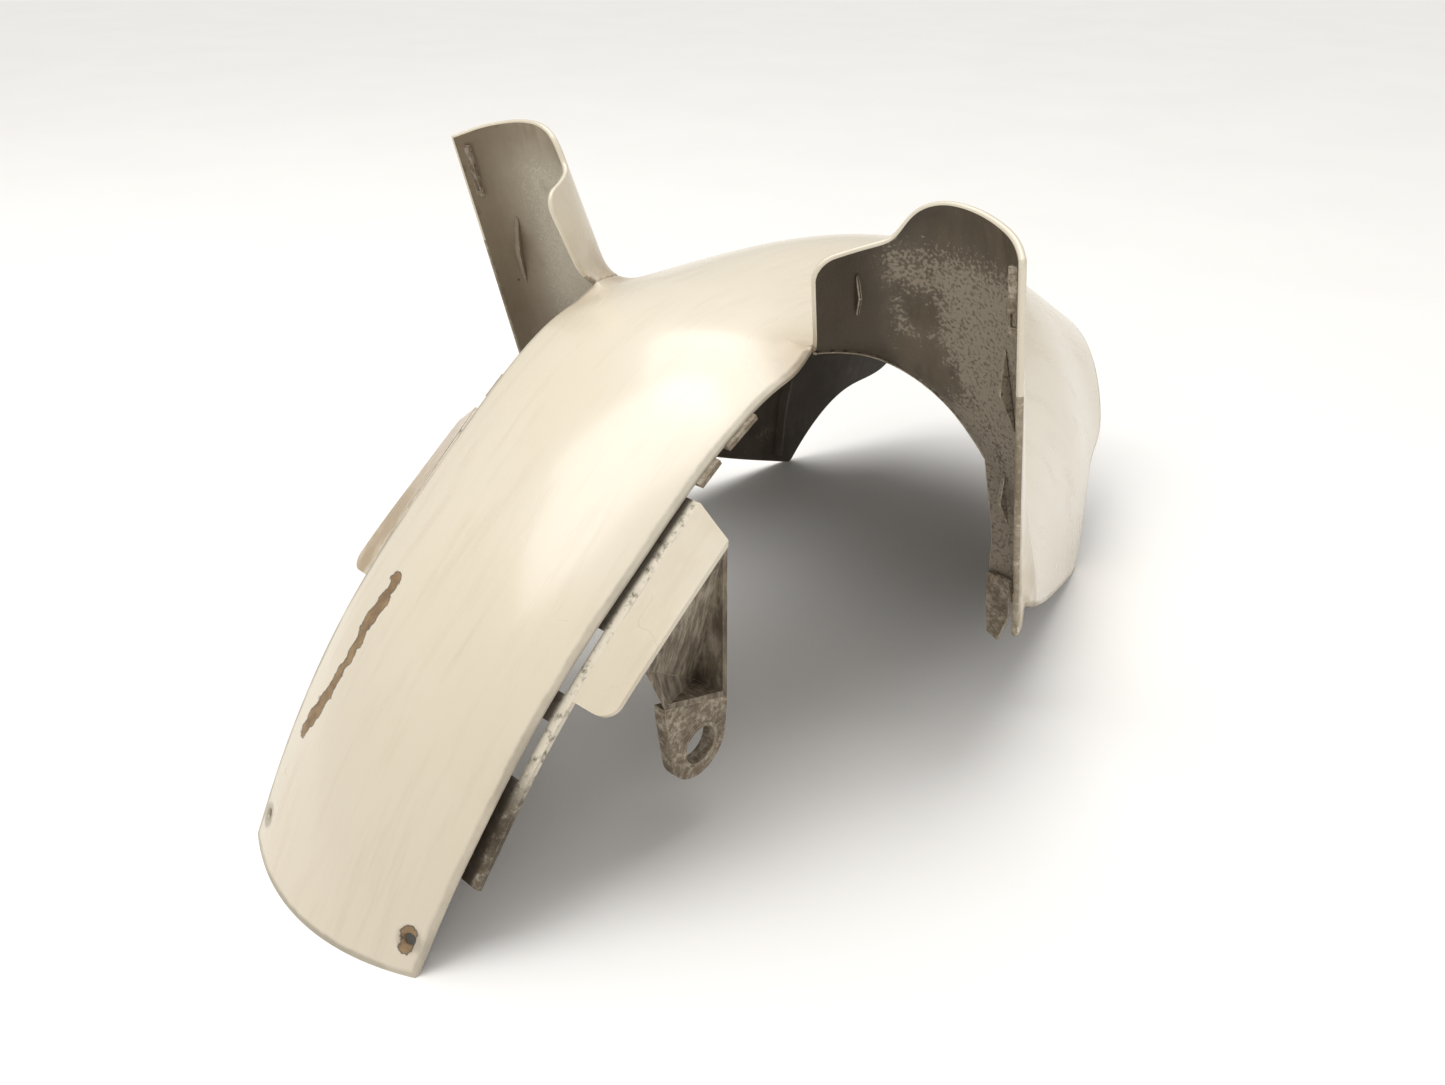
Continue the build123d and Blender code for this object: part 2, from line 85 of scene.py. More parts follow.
# side edge of the crown: (X, half width, Z)
CROWN_EDGE = [(-9, 50.8, -13), (0, 52, 1), (14, 53.5, 23), (32, 55.1, 47.5), (52, 56, 71), (78, 56.7, 95.5),
              (110, 57.6, 120.5), (134, 58.2, 138.5), (153, 59, 151), (177, 60, 163), (SEAM_X, 61.2, 169.7)]

# nose stations: X, half width, height of the foot, height of the middle, squareness
NOSE_STATIONS = [
    (SEAM_X, 155, 52, 179.7, 2.0), (245, 144.5, 40, 180.5, 2.05), (300, 128, 20, 180, 2.15),
    (350, 113.5, 2, 173, 2.2), (398, 100.5, -10, 158, 2.25), (437, 87.5, -10, 140, 2.25),
    (470, 80.5, -10, 121.5, 2.25), (NOSE_X, 73, -10, 101, 2.2),
]
SKIRT_TOE_X = 398.0
SKIRT_EDGE = [(240.5, 74), (262, 60.5), (300, 39), (350, 16.5), (SKIRT_TOE_X, 0)]
NOSE_RIM = [(SKIRT_TOE_X, 0), (416, 28), (437, 46), (460, 53), (471, 68), (488, 88), (NOSE_X, 101)]
SPIKE_FRONT_X, SPIKE_Z = 239.5, 63.0

# plan outline of a fork shroud at two levels, from the inner rear edge round the front to the outer: (X, Y)
SHROUD_TOP_Z, SHROUD_LOW_Z = 228.0, 60.0
SHROUD_TOP = [(182.6, 72), (199, 78.5), (212, 87.5), (217.5, 101), (217, 113), (213.5, 126), (207.5, 136.5),
              (197.8, 145)]
SHROUD_LOW = [(239.8, 42.5), (249, 48), (257, 60), (259, 84), (258, 108), (256, 130), (252, 141.5),
              (237, 145)]
SHROUD_FLOOR_Z = 40.0
# top rim of a shroud and the wheel arch under it, seen from behind: (Y, Z)
SHROUD_RIM = [(55, 206), (69, 211.5), (78, 215), (84, 217.5), (88, 222), (93, 228), (101, 232), (112, 233),
              (127, 231), (137, 228.3), (145, 224.6), (152, 221)]
ARCH = [(52, 163), (62, 167.5), (73, 165.5), (90, 157.5), (104, 146.5), (112.5, 131.5), (118, 113.5),
        (121.5, 96), (121.8, 66)]

# tail holes: place on the crown, and radius
TAIL_HOLE_X, TAIL_HOLE_Y, TAIL_HOLE_RADIUS = 5.5, 46.0, 3.0

# even steps along a curve and along the crown, and columns and rows of the grid that a skin is cut from
CURVE_STEPS, CROWN_STEPS = 241, 401
CROWN_GRID, NOSE_GRID, SHROUD_GRID = (171, 77), (123, 187), (111, 91)
CHUNK = 2048                 # points compared with a line at a time
CORNER_GAP = 0.02            # share of a grid edge that a cut keeps from the edge's ends


# ---- curves and surfaces ------------------------------------------------------------------------


class Curve:
    """Smooth curve through points: a natural cubic over the distance along them, from 0 to 1."""

    def __init__(self, points, knots=None):
        self.points = np.array(points, float)
        if knots is None:
            gaps = np.linalg.norm(np.diff(self.points, axis=0), axis=1)
            knots = np.concatenate([[0], np.cumsum(gaps)])
            knots = knots / knots[-1]
        self.knots = np.array(knots, float)
        count = len(self.points)
        step = np.diff(self.knots)
        rise = np.diff(self.points, axis=0) / step[:, None]
        matrix = np.eye(count)
        right = np.zeros_like(self.points)
        for i in range(1, count - 1):
            matrix[i, i - 1:i + 2] = step[i - 1], 2 * (step[i - 1] + step[i]), step[i]
            right[i] = 6 * (rise[i] - rise[i - 1])
        self.bend = np.linalg.solve(matrix, right)

    def at(self, share):
        share = np.asarray(share, float)
        i = np.clip(np.searchsorted(self.knots, share, side="right") - 1, 0, len(self.knots) - 2)
        low, high = self.knots[i], self.knots[i + 1]
        step = (high - low)[..., None]
        a = (high - share)[..., None] / step
        b = 1 - a
        curved = ((a ** 3 - a) * self.bend[i] + (b ** 3 - b) * self.bend[i + 1]) * step ** 2 / 6
        return a * self.points[i] + b * self.points[i + 1] + curved


def blend(low, high, share):
    return low + (high - low) * share


def smooth(share):
    share = np.clip(share, 0, 1)
    return share * share * (3 - 2 * share)


def nearest_of(points, targets):
    """Index of the nearest target to each point, and the distance to it."""
    index = np.empty(len(points), int)
    gap = np.empty(len(points))
    for first in range(0, len(points), CHUNK):
        part = slice(first, first + CHUNK)
        apart = np.linalg.norm(points[part, None] - targets[None], axis=-1)
        index[part], gap[part] = apart.argmin(1), apart.min(1)
    return index, gap


def solve(function, low, high, steps=26):
    """Where a rising function of an array crosses zero between two arrays, by halving."""
    for _ in range(steps):
        middle = (low + high) / 2
        below = function(middle) < 0
        low, high = np.where(below, middle, low), np.where(below, high, middle)
    return (low + high) / 2


def unit(vectors):
    return vectors / np.maximum(np.linalg.norm(vectors, axis=-1, keepdims=True), 1e-9)


def height_curve(points):
    """Smooth curve of (a, Z) points as a function from a to Z."""
    samples = Curve(points).at(np.linspace(0, 1, CURVE_STEPS))
    order = np.maximum.accumulate(samples[:, 0])
    return lambda a: np.interp(a, order, samples[:, 1])


crown_edge = Curve(CROWN_EDGE)
crown_steps = np.linspace(0, 1, CROWN_STEPS)
crown_samples = crown_edge.at(crown_steps)


def crown_share(x):
    """Share of the crown edge's length at which it reaches X."""
    return np.interp(x, crown_samples[:, 0], crown_steps)


def station(share):
    """Point on the crown edge's line and the outward normal there."""
    point = crown_edge.at(share)
    step, level_from, level_over = 0.002, 0.88, 0.12     # level toward the seam with the nose
    ahead = crown_edge.at(np.minimum(share + step, 1)) - crown_edge.at(np.maximum(share - step, 0))
    tilt = np.arctan2(ahead[..., 2], ahead[..., 0])
    tilt = tilt * (1 - smooth((share - level_from) / level_over))
    return point, np.stack([-np.sin(tilt), np.zeros_like(tilt), np.cos(tilt)], -1)


def crown_point(share, across, rise):
    """Point of the crown's outer face at a share of its length and a share of its half width."""
    point, normal = station(share)
    half = point[..., 1]
    radius = (half ** 2 + rise ** 2) / (2 * rise)
    turn = np.arcsin(half / radius) * across
    out = radius * np.cos(turn) - (radius - rise)
    place = point * np.array([1, 0, 1]) + normal * out[..., None]
    place[..., 1] = radius * np.sin(turn)
    return place


nose_rows = Curve([row[1:] for row in NOSE_STATIONS],
                  [(row[0] - SEAM_X) / (NOSE_X - SEAM_X) for row in NOSE_STATIONS])


def nose_point(along, round_share):
    """Point of the nose's outer face: a share of its length, and a share round its section."""
    half, foot, middle, power = np.moveaxis(nose_rows.at(along), -1, 0)
    angle = np.pi * round_share
    y = np.sign(np.cos(angle)) * half * np.abs(np.cos(angle)) ** (2 / power)
    z = foot + (middle - foot) * np.abs(np.sin(angle)) ** (2 / power)
    return np.stack([blend(SEAM_X, NOSE_X, along), y, z], -1)


def nose_height(x, y):
    """Height of the nose's outer face over a place."""
    along = np.clip((x - SEAM_X) / (NOSE_X - SEAM_X), 0, 1)
    half, foot, middle, power = np.moveaxis(nose_rows.at(along), -1, 0)
    inside = np.clip(1 - (np.abs(y) / half) ** power, 0, 1)
    return foot + (middle - foot) * inside ** (1 / power)


shroud_top = Curve(SHROUD_TOP)
shroud_low = Curve(SHROUD_LOW, shroud_top.knots * 0.5 + Curve(SHROUD_LOW).knots * 0.5)
shroud_top = Curve(SHROUD_TOP, shroud_low.knots)
shroud_rim = height_curve(SHROUD_RIM)
arch_height = height_curve(ARCH)
skirt_height = height_curve(SKIRT_EDGE)
rim_height = height_curve(NOSE_RIM)


def shroud_point(share, z):
    """Point of a shroud's outer face at a share round its outline and a height."""
    level = (z - SHROUD_LOW_Z) / (SHROUD_TOP_Z - SHROUD_LOW_Z)
    place = blend(shroud_low.at(share), shroud_top.at(share), level[..., None])
    return np.concatenate([place, z[..., None]], -1)


def lower_edge(x):
    """Height of the skirt's or the nose's lower edge at X."""
    height = np.where(x < SKIRT_TOE_X, skirt_height(x), rim_height(x))
    spike = blend(SPIKE_Z, SKIRT_EDGE[0][1], np.clip(x - SPIKE_FRONT_X, 0, 1))
    return np.where(x < SKIRT_EDGE[0][0], spike, height)


def outside_shroud(points):
    """Positive in front of or inward of the fork shroud's outer face, for either side."""
    x, y, z = points[..., 0], np.abs(points[..., 1]), points[..., 2]
    share = solve(lambda s: shroud_point(s, z)[..., 1] - y, np.zeros_like(y), np.ones_like(y))
    front = x - shroud_point(share, z)[..., 0]
    inner = shroud_point(np.zeros_like(y), z)[..., 1]
    return np.maximum(inner - y, front)


# ---- the fold where a shroud rises from the skin ------------------------------------------------


class Fold:
    """Rounds the inside corner between the shroud's outer face and the skin around it."""

    NEAR = 25                # how far off the fold's line a point may lie to be moved, mm
    LOWEST = 40              # and how high it has to lie, mm
    LEVELS = 50, 200         # heights between which the line lies, mm
    WIDER = 0.6, 0.25, 0.3   # how much wider it gets outward, from which share of the line, over what share
    END = 0.97, 0.14         # share of the line at which it ends, over what share

    def __init__(self, radius):
        share = np.linspace(0, 1, CURVE_STEPS)
        z = solve(lambda h: h - nose_height(*np.moveaxis(shroud_point(share, h)[..., :2], -1, 0)),
                  *(np.full_like(share, level) for level in self.LEVELS))
        self.line = shroud_point(share, z)
        along = unit(np.gradient(self.line, axis=0))
        up = unit(shroud_point(share, z + 1) - self.line)
        up = unit(up - along * np.sum(up * along, -1, keepdims=True))
        out = np.cross(unit(np.gradient(shroud_point(share, z), axis=0)), [0, 0, 1])
        x, y = self.line[:, 0], self.line[:, 1]
        base = nose_height(x, y)
        slope_x = nose_height(x + 1, y) - base
        slope_y = nose_height(x, y + 0.5) * 2 - base * 2
        skin = unit(np.stack([-slope_x, -slope_y, np.ones_like(base)], -1))
        away = unit(np.cross(skin, along))
        away = away * np.sign(np.sum(away * out, -1, keepdims=True))
        more, start, over = self.WIDER
        end, fade = self.END
        self.radius = radius * (1 + more * smooth((share - start) / over)) * smooth((end - share) / fade)
        self.radius = np.maximum(self.radius, 0.01)
        self.push = (up + away) * self.radius[:, None] / 4

    def nearest(self, points):
        """Index of the nearest place on the fold's line, and the distance to it."""
        flat = points.reshape(-1, 3).copy()
        flat[:, 1] = np.abs(flat[:, 1])
        index, gap = nearest_of(flat, self.line)
        return index.reshape(points.shape[:-1]), gap.reshape(points.shape[:-1])

    def bend(self, points):
        """The points moved onto the rounded corner."""
        low, high = self.line.min(0) - self.NEAR, self.line.max(0) + self.NEAR
        near = (points[..., 0] > low[0]) & (points[..., 0] < high[0])
        near &= (np.abs(points[..., 1]) > low[1]) & (points[..., 2] > self.LOWEST)
        moved = points.copy()
        if near.any():
            part = points[near]
            index, gap = self.nearest(part)
            share = np.clip(1 - gap / self.radius[index], 0, 1)
            move = self.push[index] * (share ** 2)[..., None]
            move[..., 1] *= np.sign(part[..., 1])
            moved[near] = part + move
        return moved


# ---- trimmed sheets with a thickness ------------------------------------------------------------


def normals_of(surface, u, v):
    """Unit normals of a surface at an array of places."""
    step = 0.0015
    du = surface(np.clip(u + step, 0, 1), v) - surface(np.clip(u - step, 0, 1), v)
    dv = surface(u, np.clip(v + step, 0, 1)) - surface(u, np.clip(v - step, 0, 1))
    return unit(np.cross(du, dv))


def trimmed_grid(keep, columns, rows):
    """Places (u, v) and faces of an even grid, trimmed where keep(u, v) is below zero."""
    even = np.meshgrid(np.linspace(0, 1, columns), np.linspace(0, 1, rows), indexing="ij")
    u, v = (a.ravel() for a in even)
    inside = keep(u, v)
    kept = inside > 0
    corner = np.arange(columns * rows).reshape(columns, rows)
    quads = np.stack([corner[:-1, :-1], corner[1:, :-1], corner[1:, 1:], corner[:-1, 1:]], -1).reshape(-1, 4)
    whole = kept[quads].all(1)
    mixed = quads[kept[quads].any(1) & ~whole]
    edges = sorted({tuple(sorted((q[i], q[(i + 1) % 4]))) for q in mixed for i in range(4)
                    if kept[q[i]] != kept[q[(i + 1) % 4]]})
    places = np.stack([u, v], -1)
    cuts = {}
    if edges:
        pairs = np.array(edges)
        out = np.where(kept[pairs[:, 0]], pairs[:, 1], pairs[:, 0])
        ins = np.where(kept[pairs[:, 0]], pairs[:, 0], pairs[:, 1])

        def along(share):
            spot = blend(places[out], places[ins], share[:, None])
            return keep(spot[:, 0], spot[:, 1])

        share = solve(along, np.zeros(len(pairs)), np.ones(len(pairs)), steps=16)
        share = np.clip(share, CORNER_GAP, 1 - CORNER_GAP)
        cuts = {edge: len(places) + i for i, edge in enumerate(edges)}
        places = np.concatenate([places, blend(places[out], places[ins], share[:, None])])
    faces = [list(q) for q in quads[whole]]
    for quad in mixed:
        face = []
        for i in range(4):
            a, b = quad[i], quad[(i + 1) % 4]
            if kept[a]:
                face.append(a)
            if kept[a] != kept[b]:
                face.append(cuts[tuple(sorted((a, b)))])
        if len(face) > 2:
            faces.append(face)
    used = sorted({i for face in faces for i in face})
    new = {old: i for i, old in enumerate(used)}
    return places[used], [[new[i] for i in face] for face in faces]


def border_edges(faces):
    """Directed edges that only one face has."""
    seen = {(f[i], f[(i + 1) % len(f)]) for f in faces for i in range(len(f))}
    return [(a, b) for a, b in seen if (b, a) not in seen]


class Sheet:
    """A skin of even thickness over a trimmed surface, closed with a rounded rim."""

    RINGS = 5

    def __init__(self, surface, keep, columns, rows, wall, bulge, outward, normal_fix=None):
        places, faces = trimmed_grid(keep, columns, rows)
        outer = surface(places[:, 0], places[:, 1])
        normal = normals_of(surface, places[:, 0], places[:, 1])
        if np.sum(normal * outward(outer), -1).mean() < 0:
            normal = -normal
            faces = [face[::-1] for face in faces]
        wanted = normal_fix(outer, normal) if normal_fix else normal
        inner = outer - normal * wall
        count = len(outer)
        edges = sorted(border_edges(faces))
        rim_index = {v: i for i, v in enumerate(sorted({v for e in edges for v in e}))}
        rim_of = np.array(sorted(rim_index))
        aside = np.zeros((len(rim_of), 3))
        for a, b in edges:
            push = unit(np.cross(outer[b] - outer[a], normal[a]))
            aside[rim_index[a]] += push
            aside[rim_index[b]] += push
        aside = unit(aside)
        middle, half = (outer + inner)[rim_of] / 2, (outer - inner)[rim_of] / 2
        points, shades = [outer, inner], [wanted, -wanted]
        for k in range(1, self.RINGS):
            turn = math.pi * k / self.RINGS
            points.append(middle + half * math.cos(turn) + aside * bulge * math.sin(turn))
            shades.append(unit(normal[rim_of] * math.cos(turn) + aside * math.sin(turn)))
        self.points = np.concatenate(points)
        self.points[:, 2] = np.maximum(self.points[:, 2], 0)
        self.shades = np.concatenate(shades)
        self.faces = list(faces) + [[i + count for i in face[::-1]] for face in faces]
        self.finish = [0] * len(faces) + [1] * len(faces)

        def ring(v, k):
            if k == 0:
                return v
            if k == self.RINGS:
                return v + count
            return 2 * count + (k - 1) * len(rim_of) + rim_index[v]

        for a, b in edges:
            for k in range(self.RINGS):
                self.faces.append([ring(b, k), ring(a, k), ring(a, k + 1), ring(b, k + 1)])
                self.finish.append(2)
        self.border = outer[rim_of]
        self.count = count


FAR_MARK = 60.0              # the largest distance that a mark holds, mm


def distance_to(points, targets):
    """Distance in mm from each point to the nearest target, at most FAR_MARK."""
    return np.minimum(nearest_of(points, targets)[1], FAR_MARK)


def to_row(points):
    """Working millimetres to the frame's metres."""
    return (np.asarray(points, float) - [SHIFT_X, 0, 0]) * MM


def set_marks(mesh, marks):
    """Stores distances in mm on the vertices, for the materials to read."""
    for mark, values in marks.items():
        attribute = mesh.attributes.new(mark, "FLOAT", "POINT")
        attribute.data.foreach_set("value", np.asarray(values, np.float32))


def placed(name, data):
    """Object linked into the scene."""
    made = bpy.data.objects.new(name, data)
    bpy.context.scene.collection.objects.link(made)
    return made


def new_piece(name, points, faces, finish, materials, shades, marks):
    """Mesh object from arrays in working millimetres, riding on the one body."""
    mesh = bpy.data.meshes.new(name)
    corners = [tuple(int(i) for i in face) for face in faces]
    mesh.from_pydata([tuple(p) for p in to_row(points)], [], corners)
    for material in materials:
        mesh.materials.append(material)
    mesh.polygons.foreach_set("material_index", np.array(finish, np.int32))
    mesh.polygons.foreach_set("use_smooth", np.ones(len(faces), bool))
    set_marks(mesh, marks)
    mesh.validate()
    mesh.normals_split_custom_set_from_vertices([tuple(n) for n in shades])
    piece = placed(name, mesh)
    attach(piece, "root")
    return piece


# ---- shader node helpers and shared groups -----------------------------------------------------


class Workshop:
    """What the steps share: the fold, the shader groups and the materials by name."""

    fold = None
    groups = {}
    materials = {}


class Nodes:
    """Adds nodes to one tree and joins them."""

    def __init__(self, tree):
        self.tree = tree

    def add(self, kind, inputs=None, **settings):
        node = self.tree.nodes.new("ShaderNode" + kind)
        for key, value in settings.items():
            setattr(node, key, value)
        for key, value in (inputs or {}).items():
            self.put(node, key, value)
        return node

    def put(self, node, key, value):
        socket = node.inputs[key]
        if isinstance(value, bpy.types.NodeSocket):
            self.tree.links.new(value, socket)
        else:
            socket.default_value = value

    def maths(self, operation, *values, clamp=False):
        inputs = dict(enumerate(values))
        return self.add("Math", inputs, operation=operation, use_clamp=clamp).outputs[0]

    def plus(self, a, b):
        return self.maths("ADD", a, b)

    def minus(self, a, b):
        return self.maths("SUBTRACT", a, b)

    def times(self, a, b):
        return self.maths("MULTIPLY", a, b)

    def most(self, a, b):
        return self.maths("MAXIMUM", a, b)

    def scaled(self, vector, scale):
        return self.add("VectorMath", {0: vector, "Scale": scale}, operation="SCALE").outputs[0]

    def shrunk(self, vector, size):
        """The vector divided by a size."""
        return self.scaled(vector, self.maths("DIVIDE", 1.0, size))

    def moved(self, vector, scale, shift=(0.0, 0.0, 0.0)):
        node = self.add("Mapping", {"Vector": vector, "Location": shift, "Scale": scale})
        return node.outputs["Vector"]

    def ramp(self, value, low, high, to_low=0.0, to_high=1.0):
        """Soft step from one value at low to another at high."""
        inputs = {"Value": value, "From Min": low, "From Max": high, "To Min": to_low, "To Max": to_high}
        return self.add("MapRange", inputs, interpolation_type="SMOOTHSTEP").outputs["Result"]

    def mix(self, factor, low, high):
        """Colour between two, each of them a socket or a tint."""
        node = self.add("Mix", data_type="RGBA")
        for key, value in zip((0, 6, 7), (factor, low, high)):
            ready = isinstance(value, (bpy.types.NodeSocket, float))
            self.put(node, key, value if ready else (*value[:3], 1.0))
        return node.outputs[2]

    def cover(self, colour, over, mask, strength):
        """Colour with another laid over it where a mask says so."""
        return self.mix(self.times(mask, strength), colour, over)

    def noise(self, place, detail, scale=1.0, rough=0.5, seed=None):
        """Outputs of a noise texture, of four dimensions where it has a seed."""
        inputs = {"Vector": place, "Scale": scale, "Detail": detail, "Roughness": rough}
        if seed is None:
            return self.add("TexNoise", inputs).outputs
        return self.add("TexNoise", inputs | {"W": seed}, noise_dimensions="4D").outputs

    def group(self, name, **inputs):
        """Outputs of a shared group."""
        return self.add("Group", inputs, node_tree=Workshop.groups[name]).outputs

    def bump(self, height, strength, distance=0.0005, **more):
        inputs = {"Strength": strength, "Distance": distance, "Height": height}
        return self.add("Bump", inputs | more).outputs["Normal"]

    def mark(self, name):
        """Value of a vertex mark, in mm."""
        return self.add("Attribute", attribute_name=name).outputs["Fac"]

    def places(self):
        return self.add("TexCoord").outputs["Object"]

    def axes(self):
        """The places' X, Y and Z, in m."""
        return self.add("SeparateXYZ", {0: self.places()}).outputs


def new_group(name, *outputs, **inputs):
    """Empty node group: its tree, its helper, the inputs to read and the outputs to fill."""
    tree = bpy.data.node_groups.new(name, "ShaderNodeTree")
    for title, default in inputs.items():
        kind = "NodeSocketVector" if isinstance(default, tuple) else "NodeSocketFloat"
        socket = tree.interface.new_socket(title, in_out="INPUT", socket_type=kind)
        socket.default_value = default
    for title in outputs:
        tree.interface.new_socket(title, in_out="OUTPUT", socket_type="NodeSocketFloat")
    given = tree.nodes.new("NodeGroupInput")
    wanted = tree.nodes.new("NodeGroupOutput")
    return tree, Nodes(tree), given.outputs, wanted.inputs


def patches_group():
    """Patchy mask from soft noise: where dirt, stain or wear lies."""
    tree, nodes, given, wanted = new_group("Patches", "Mask", "Noise", Size=0.02, Stretch=(1.0, 1.0, 1.0),
                                           Seed=0.0, Cover=0.5, Soft=0.1, Roughen=0.6)
    stretched = nodes.add("VectorMath", {0: nodes.places(), 1: given["Stretch"]}, operation="MULTIPLY")
    place = nodes.shrunk(stretched.outputs[0], given["Size"])
    noise = nodes.noise(place, 7.0, rough=given["Roughen"], seed=given["Seed"])["Fac"]
    level = nodes.minus(0.80, nodes.times(given["Cover"], 0.6))
    mask = nodes.ramp(noise, nodes.minus(level, given["Soft"]), nodes.plus(level, given["Soft"]))
    tree.links.new(mask, wanted["Mask"])
    tree.links.new(noise, wanted["Noise"])
    return tree


def specks_group():
    """Scattered small dots: grit, flies and pinholes."""
    tree, nodes, given, wanted = new_group("Specks", "Mask", Spacing=0.01, Radius=0.06, Share=0.3, Seed=0.0)
    even = nodes.shrunk(nodes.places(), given["Spacing"])
    wobble = nodes.scaled(nodes.noise(even, 2.0, scale=6.0)["Color"], 0.12)
    place = nodes.add("VectorMath", {0: even, 1: wobble}, operation="ADD").outputs[0]
    cells = nodes.add("TexVoronoi", {"Vector": place, "W": given["Seed"], "Scale": 1.0, "Randomness": 1.0},
                      voronoi_dimensions="4D").outputs
    parts = nodes.add("SeparateColor", {0: cells["Color"]}).outputs
    radius = nodes.times(given["Radius"], nodes.plus(parts[1], 0.3))
    dot = nodes.ramp(cells["Distance"], radius, nodes.times(radius, 0.6))
    chosen = nodes.maths("LESS_THAN", parts[0], given["Share"])
    tree.links.new(nodes.times(dot, chosen), wanted["Mask"])
    return tree


def scratches_group():
    """Fine straight scratches in two directions."""
    tree, nodes, given, wanted = new_group("Scratches", "Mask", Spacing=0.006, Width=0.006, Share=0.4)
    masks = []
    for turn in (0.0, 1.1):
        turned = nodes.add("VectorRotate", rotation_type="EULER_XYZ")
        nodes.put(turned, "Vector", nodes.places())
        nodes.put(turned, "Rotation", (turn, 0.3 * turn, turn))
        place = nodes.shrunk(turned.outputs[0], given["Spacing"])
        drawn = nodes.noise(nodes.moved(place, (0.05, 1.0, 1.0)), 0.0)["Fac"]
        off = nodes.maths("ABSOLUTE", nodes.minus(drawn, 0.5))
        line = nodes.ramp(off, given["Width"], 0.0)
        broken = nodes.noise(nodes.moved(place, (0.16, 0.4, 0.4), (7.0, turn, 3.0)), 2.0)["Fac"]
        level = nodes.minus(0.8, nodes.times(given["Share"], 0.5))
        masks.append(nodes.times(line, nodes.maths("GREATER_THAN", broken, level)))
    tree.links.new(nodes.most(*masks), wanted["Mask"])
    return tree


def rim_dirt_group():
    """Dirt and worn spots along a skin's rim, from the distance mark."""
    tree, nodes, given, wanted = new_group("Rim Dirt", "Mask", Width=2.0, Ragged=2.0, Grain=0.003, Seed=0.0)
    place = nodes.shrunk(nodes.places(), given["Grain"])
    noise = nodes.noise(place, 5.0, rough=0.65, seed=given["Seed"])["Fac"]
    swing = nodes.times(nodes.minus(noise, 0.5), nodes.times(given["Ragged"], 4.0))
    reach = nodes.plus(nodes.mark("edge"), swing)
    mask = nodes.ramp(reach, given["Width"], nodes.times(given["Width"], 0.35))
    tree.links.new(mask, wanted["Mask"])
    return tree


def new_material(name, gloss=0.5, coat=0.0, coat_roughness=0.1, specular=0.5):
    """Material with one Principled shader whose constants are set on its own sockets."""
    material = bpy.data.materials.new(name)
    material.use_nodes = True
    shader = material.node_tree.nodes["Principled BSDF"]
    shader.inputs["Roughness"].default_value = gloss
    shader.inputs["Coat Weight"].default_value = coat
    shader.inputs["Coat Roughness"].default_value = coat_roughness
    shader.inputs["Specular IOR Level"].default_value = specular
    return material, Nodes(material.node_tree), shader


# ---- materials ---------------------------------------------------------------------------------

# places in the frame, m: where the pale clouds end at a channel's top, where its rubbed foot begins, how far
# aft a flange is painted, where the brown film on the tail (partly stain, partly painted shade) starts and is
# full, the crown's half width above a flange as (at X 0, slope), and how far out of it the painted shadow
# under the crown's edge reaches
CHANNEL_TOP, CHANNEL_FOOT = (0.230, 0.204), (0.140, 0.105)
FLANGE_PAINT = (-0.207, -0.190)
TAIL_STAIN_AND_SHADE = (-0.10, -0.24)
FLANGE_ROOT_LINE = (0.06175, 0.035)
FLANGE_SHADOW = (0.0036, 0.0008)
# distances of the marks, mm: where the stain at a shroud's root is gone and full, the edge of the bare
# places, the burr round them, and how far noise moves that edge
ROOT_STAIN = (34.0, 4.0)
BARE_EDGE, BARE_BURR, BARE_SWING = (0.15, -0.15), (0.9, 0.0), 8.0

DEEP_BROWN = (0.05, 0.037, 0.023)
# base, deep and worn tone of each unpainted moulding; in the channels the deep tone also paints the shade
TONES = {
    "left_channel": ((0.34, 0.285, 0.205), (0.19, 0.145, 0.092), (0.52, 0.465, 0.375)),
    "right_channel": ((0.12, 0.092, 0.060), DEEP_BROWN, (0.30, 0.255, 0.195)),
    "underside": ((0.105, 0.085, 0.062), (0.05, 0.038, 0.026), (0.19, 0.16, 0.115)),
    "rim": ((0.40, 0.34, 0.25), (0.20, 0.155, 0.10), (0.60, 0.53, 0.42)),
    "flange": ((0.20, 0.16, 0.11), DEEP_BROWN, (0.45, 0.40, 0.32)),
    "bracket": ((0.20, 0.155, 0.107), (0.07, 0.052, 0.034), (0.36, 0.31, 0.235)),
    "tab": ((0.27, 0.21, 0.14), (0.12, 0.088, 0.056), (0.52, 0.46, 0.365)),
    "edge": ((0.34, 0.285, 0.205), (0.17, 0.13, 0.085), (0.55, 0.49, 0.39)),
}


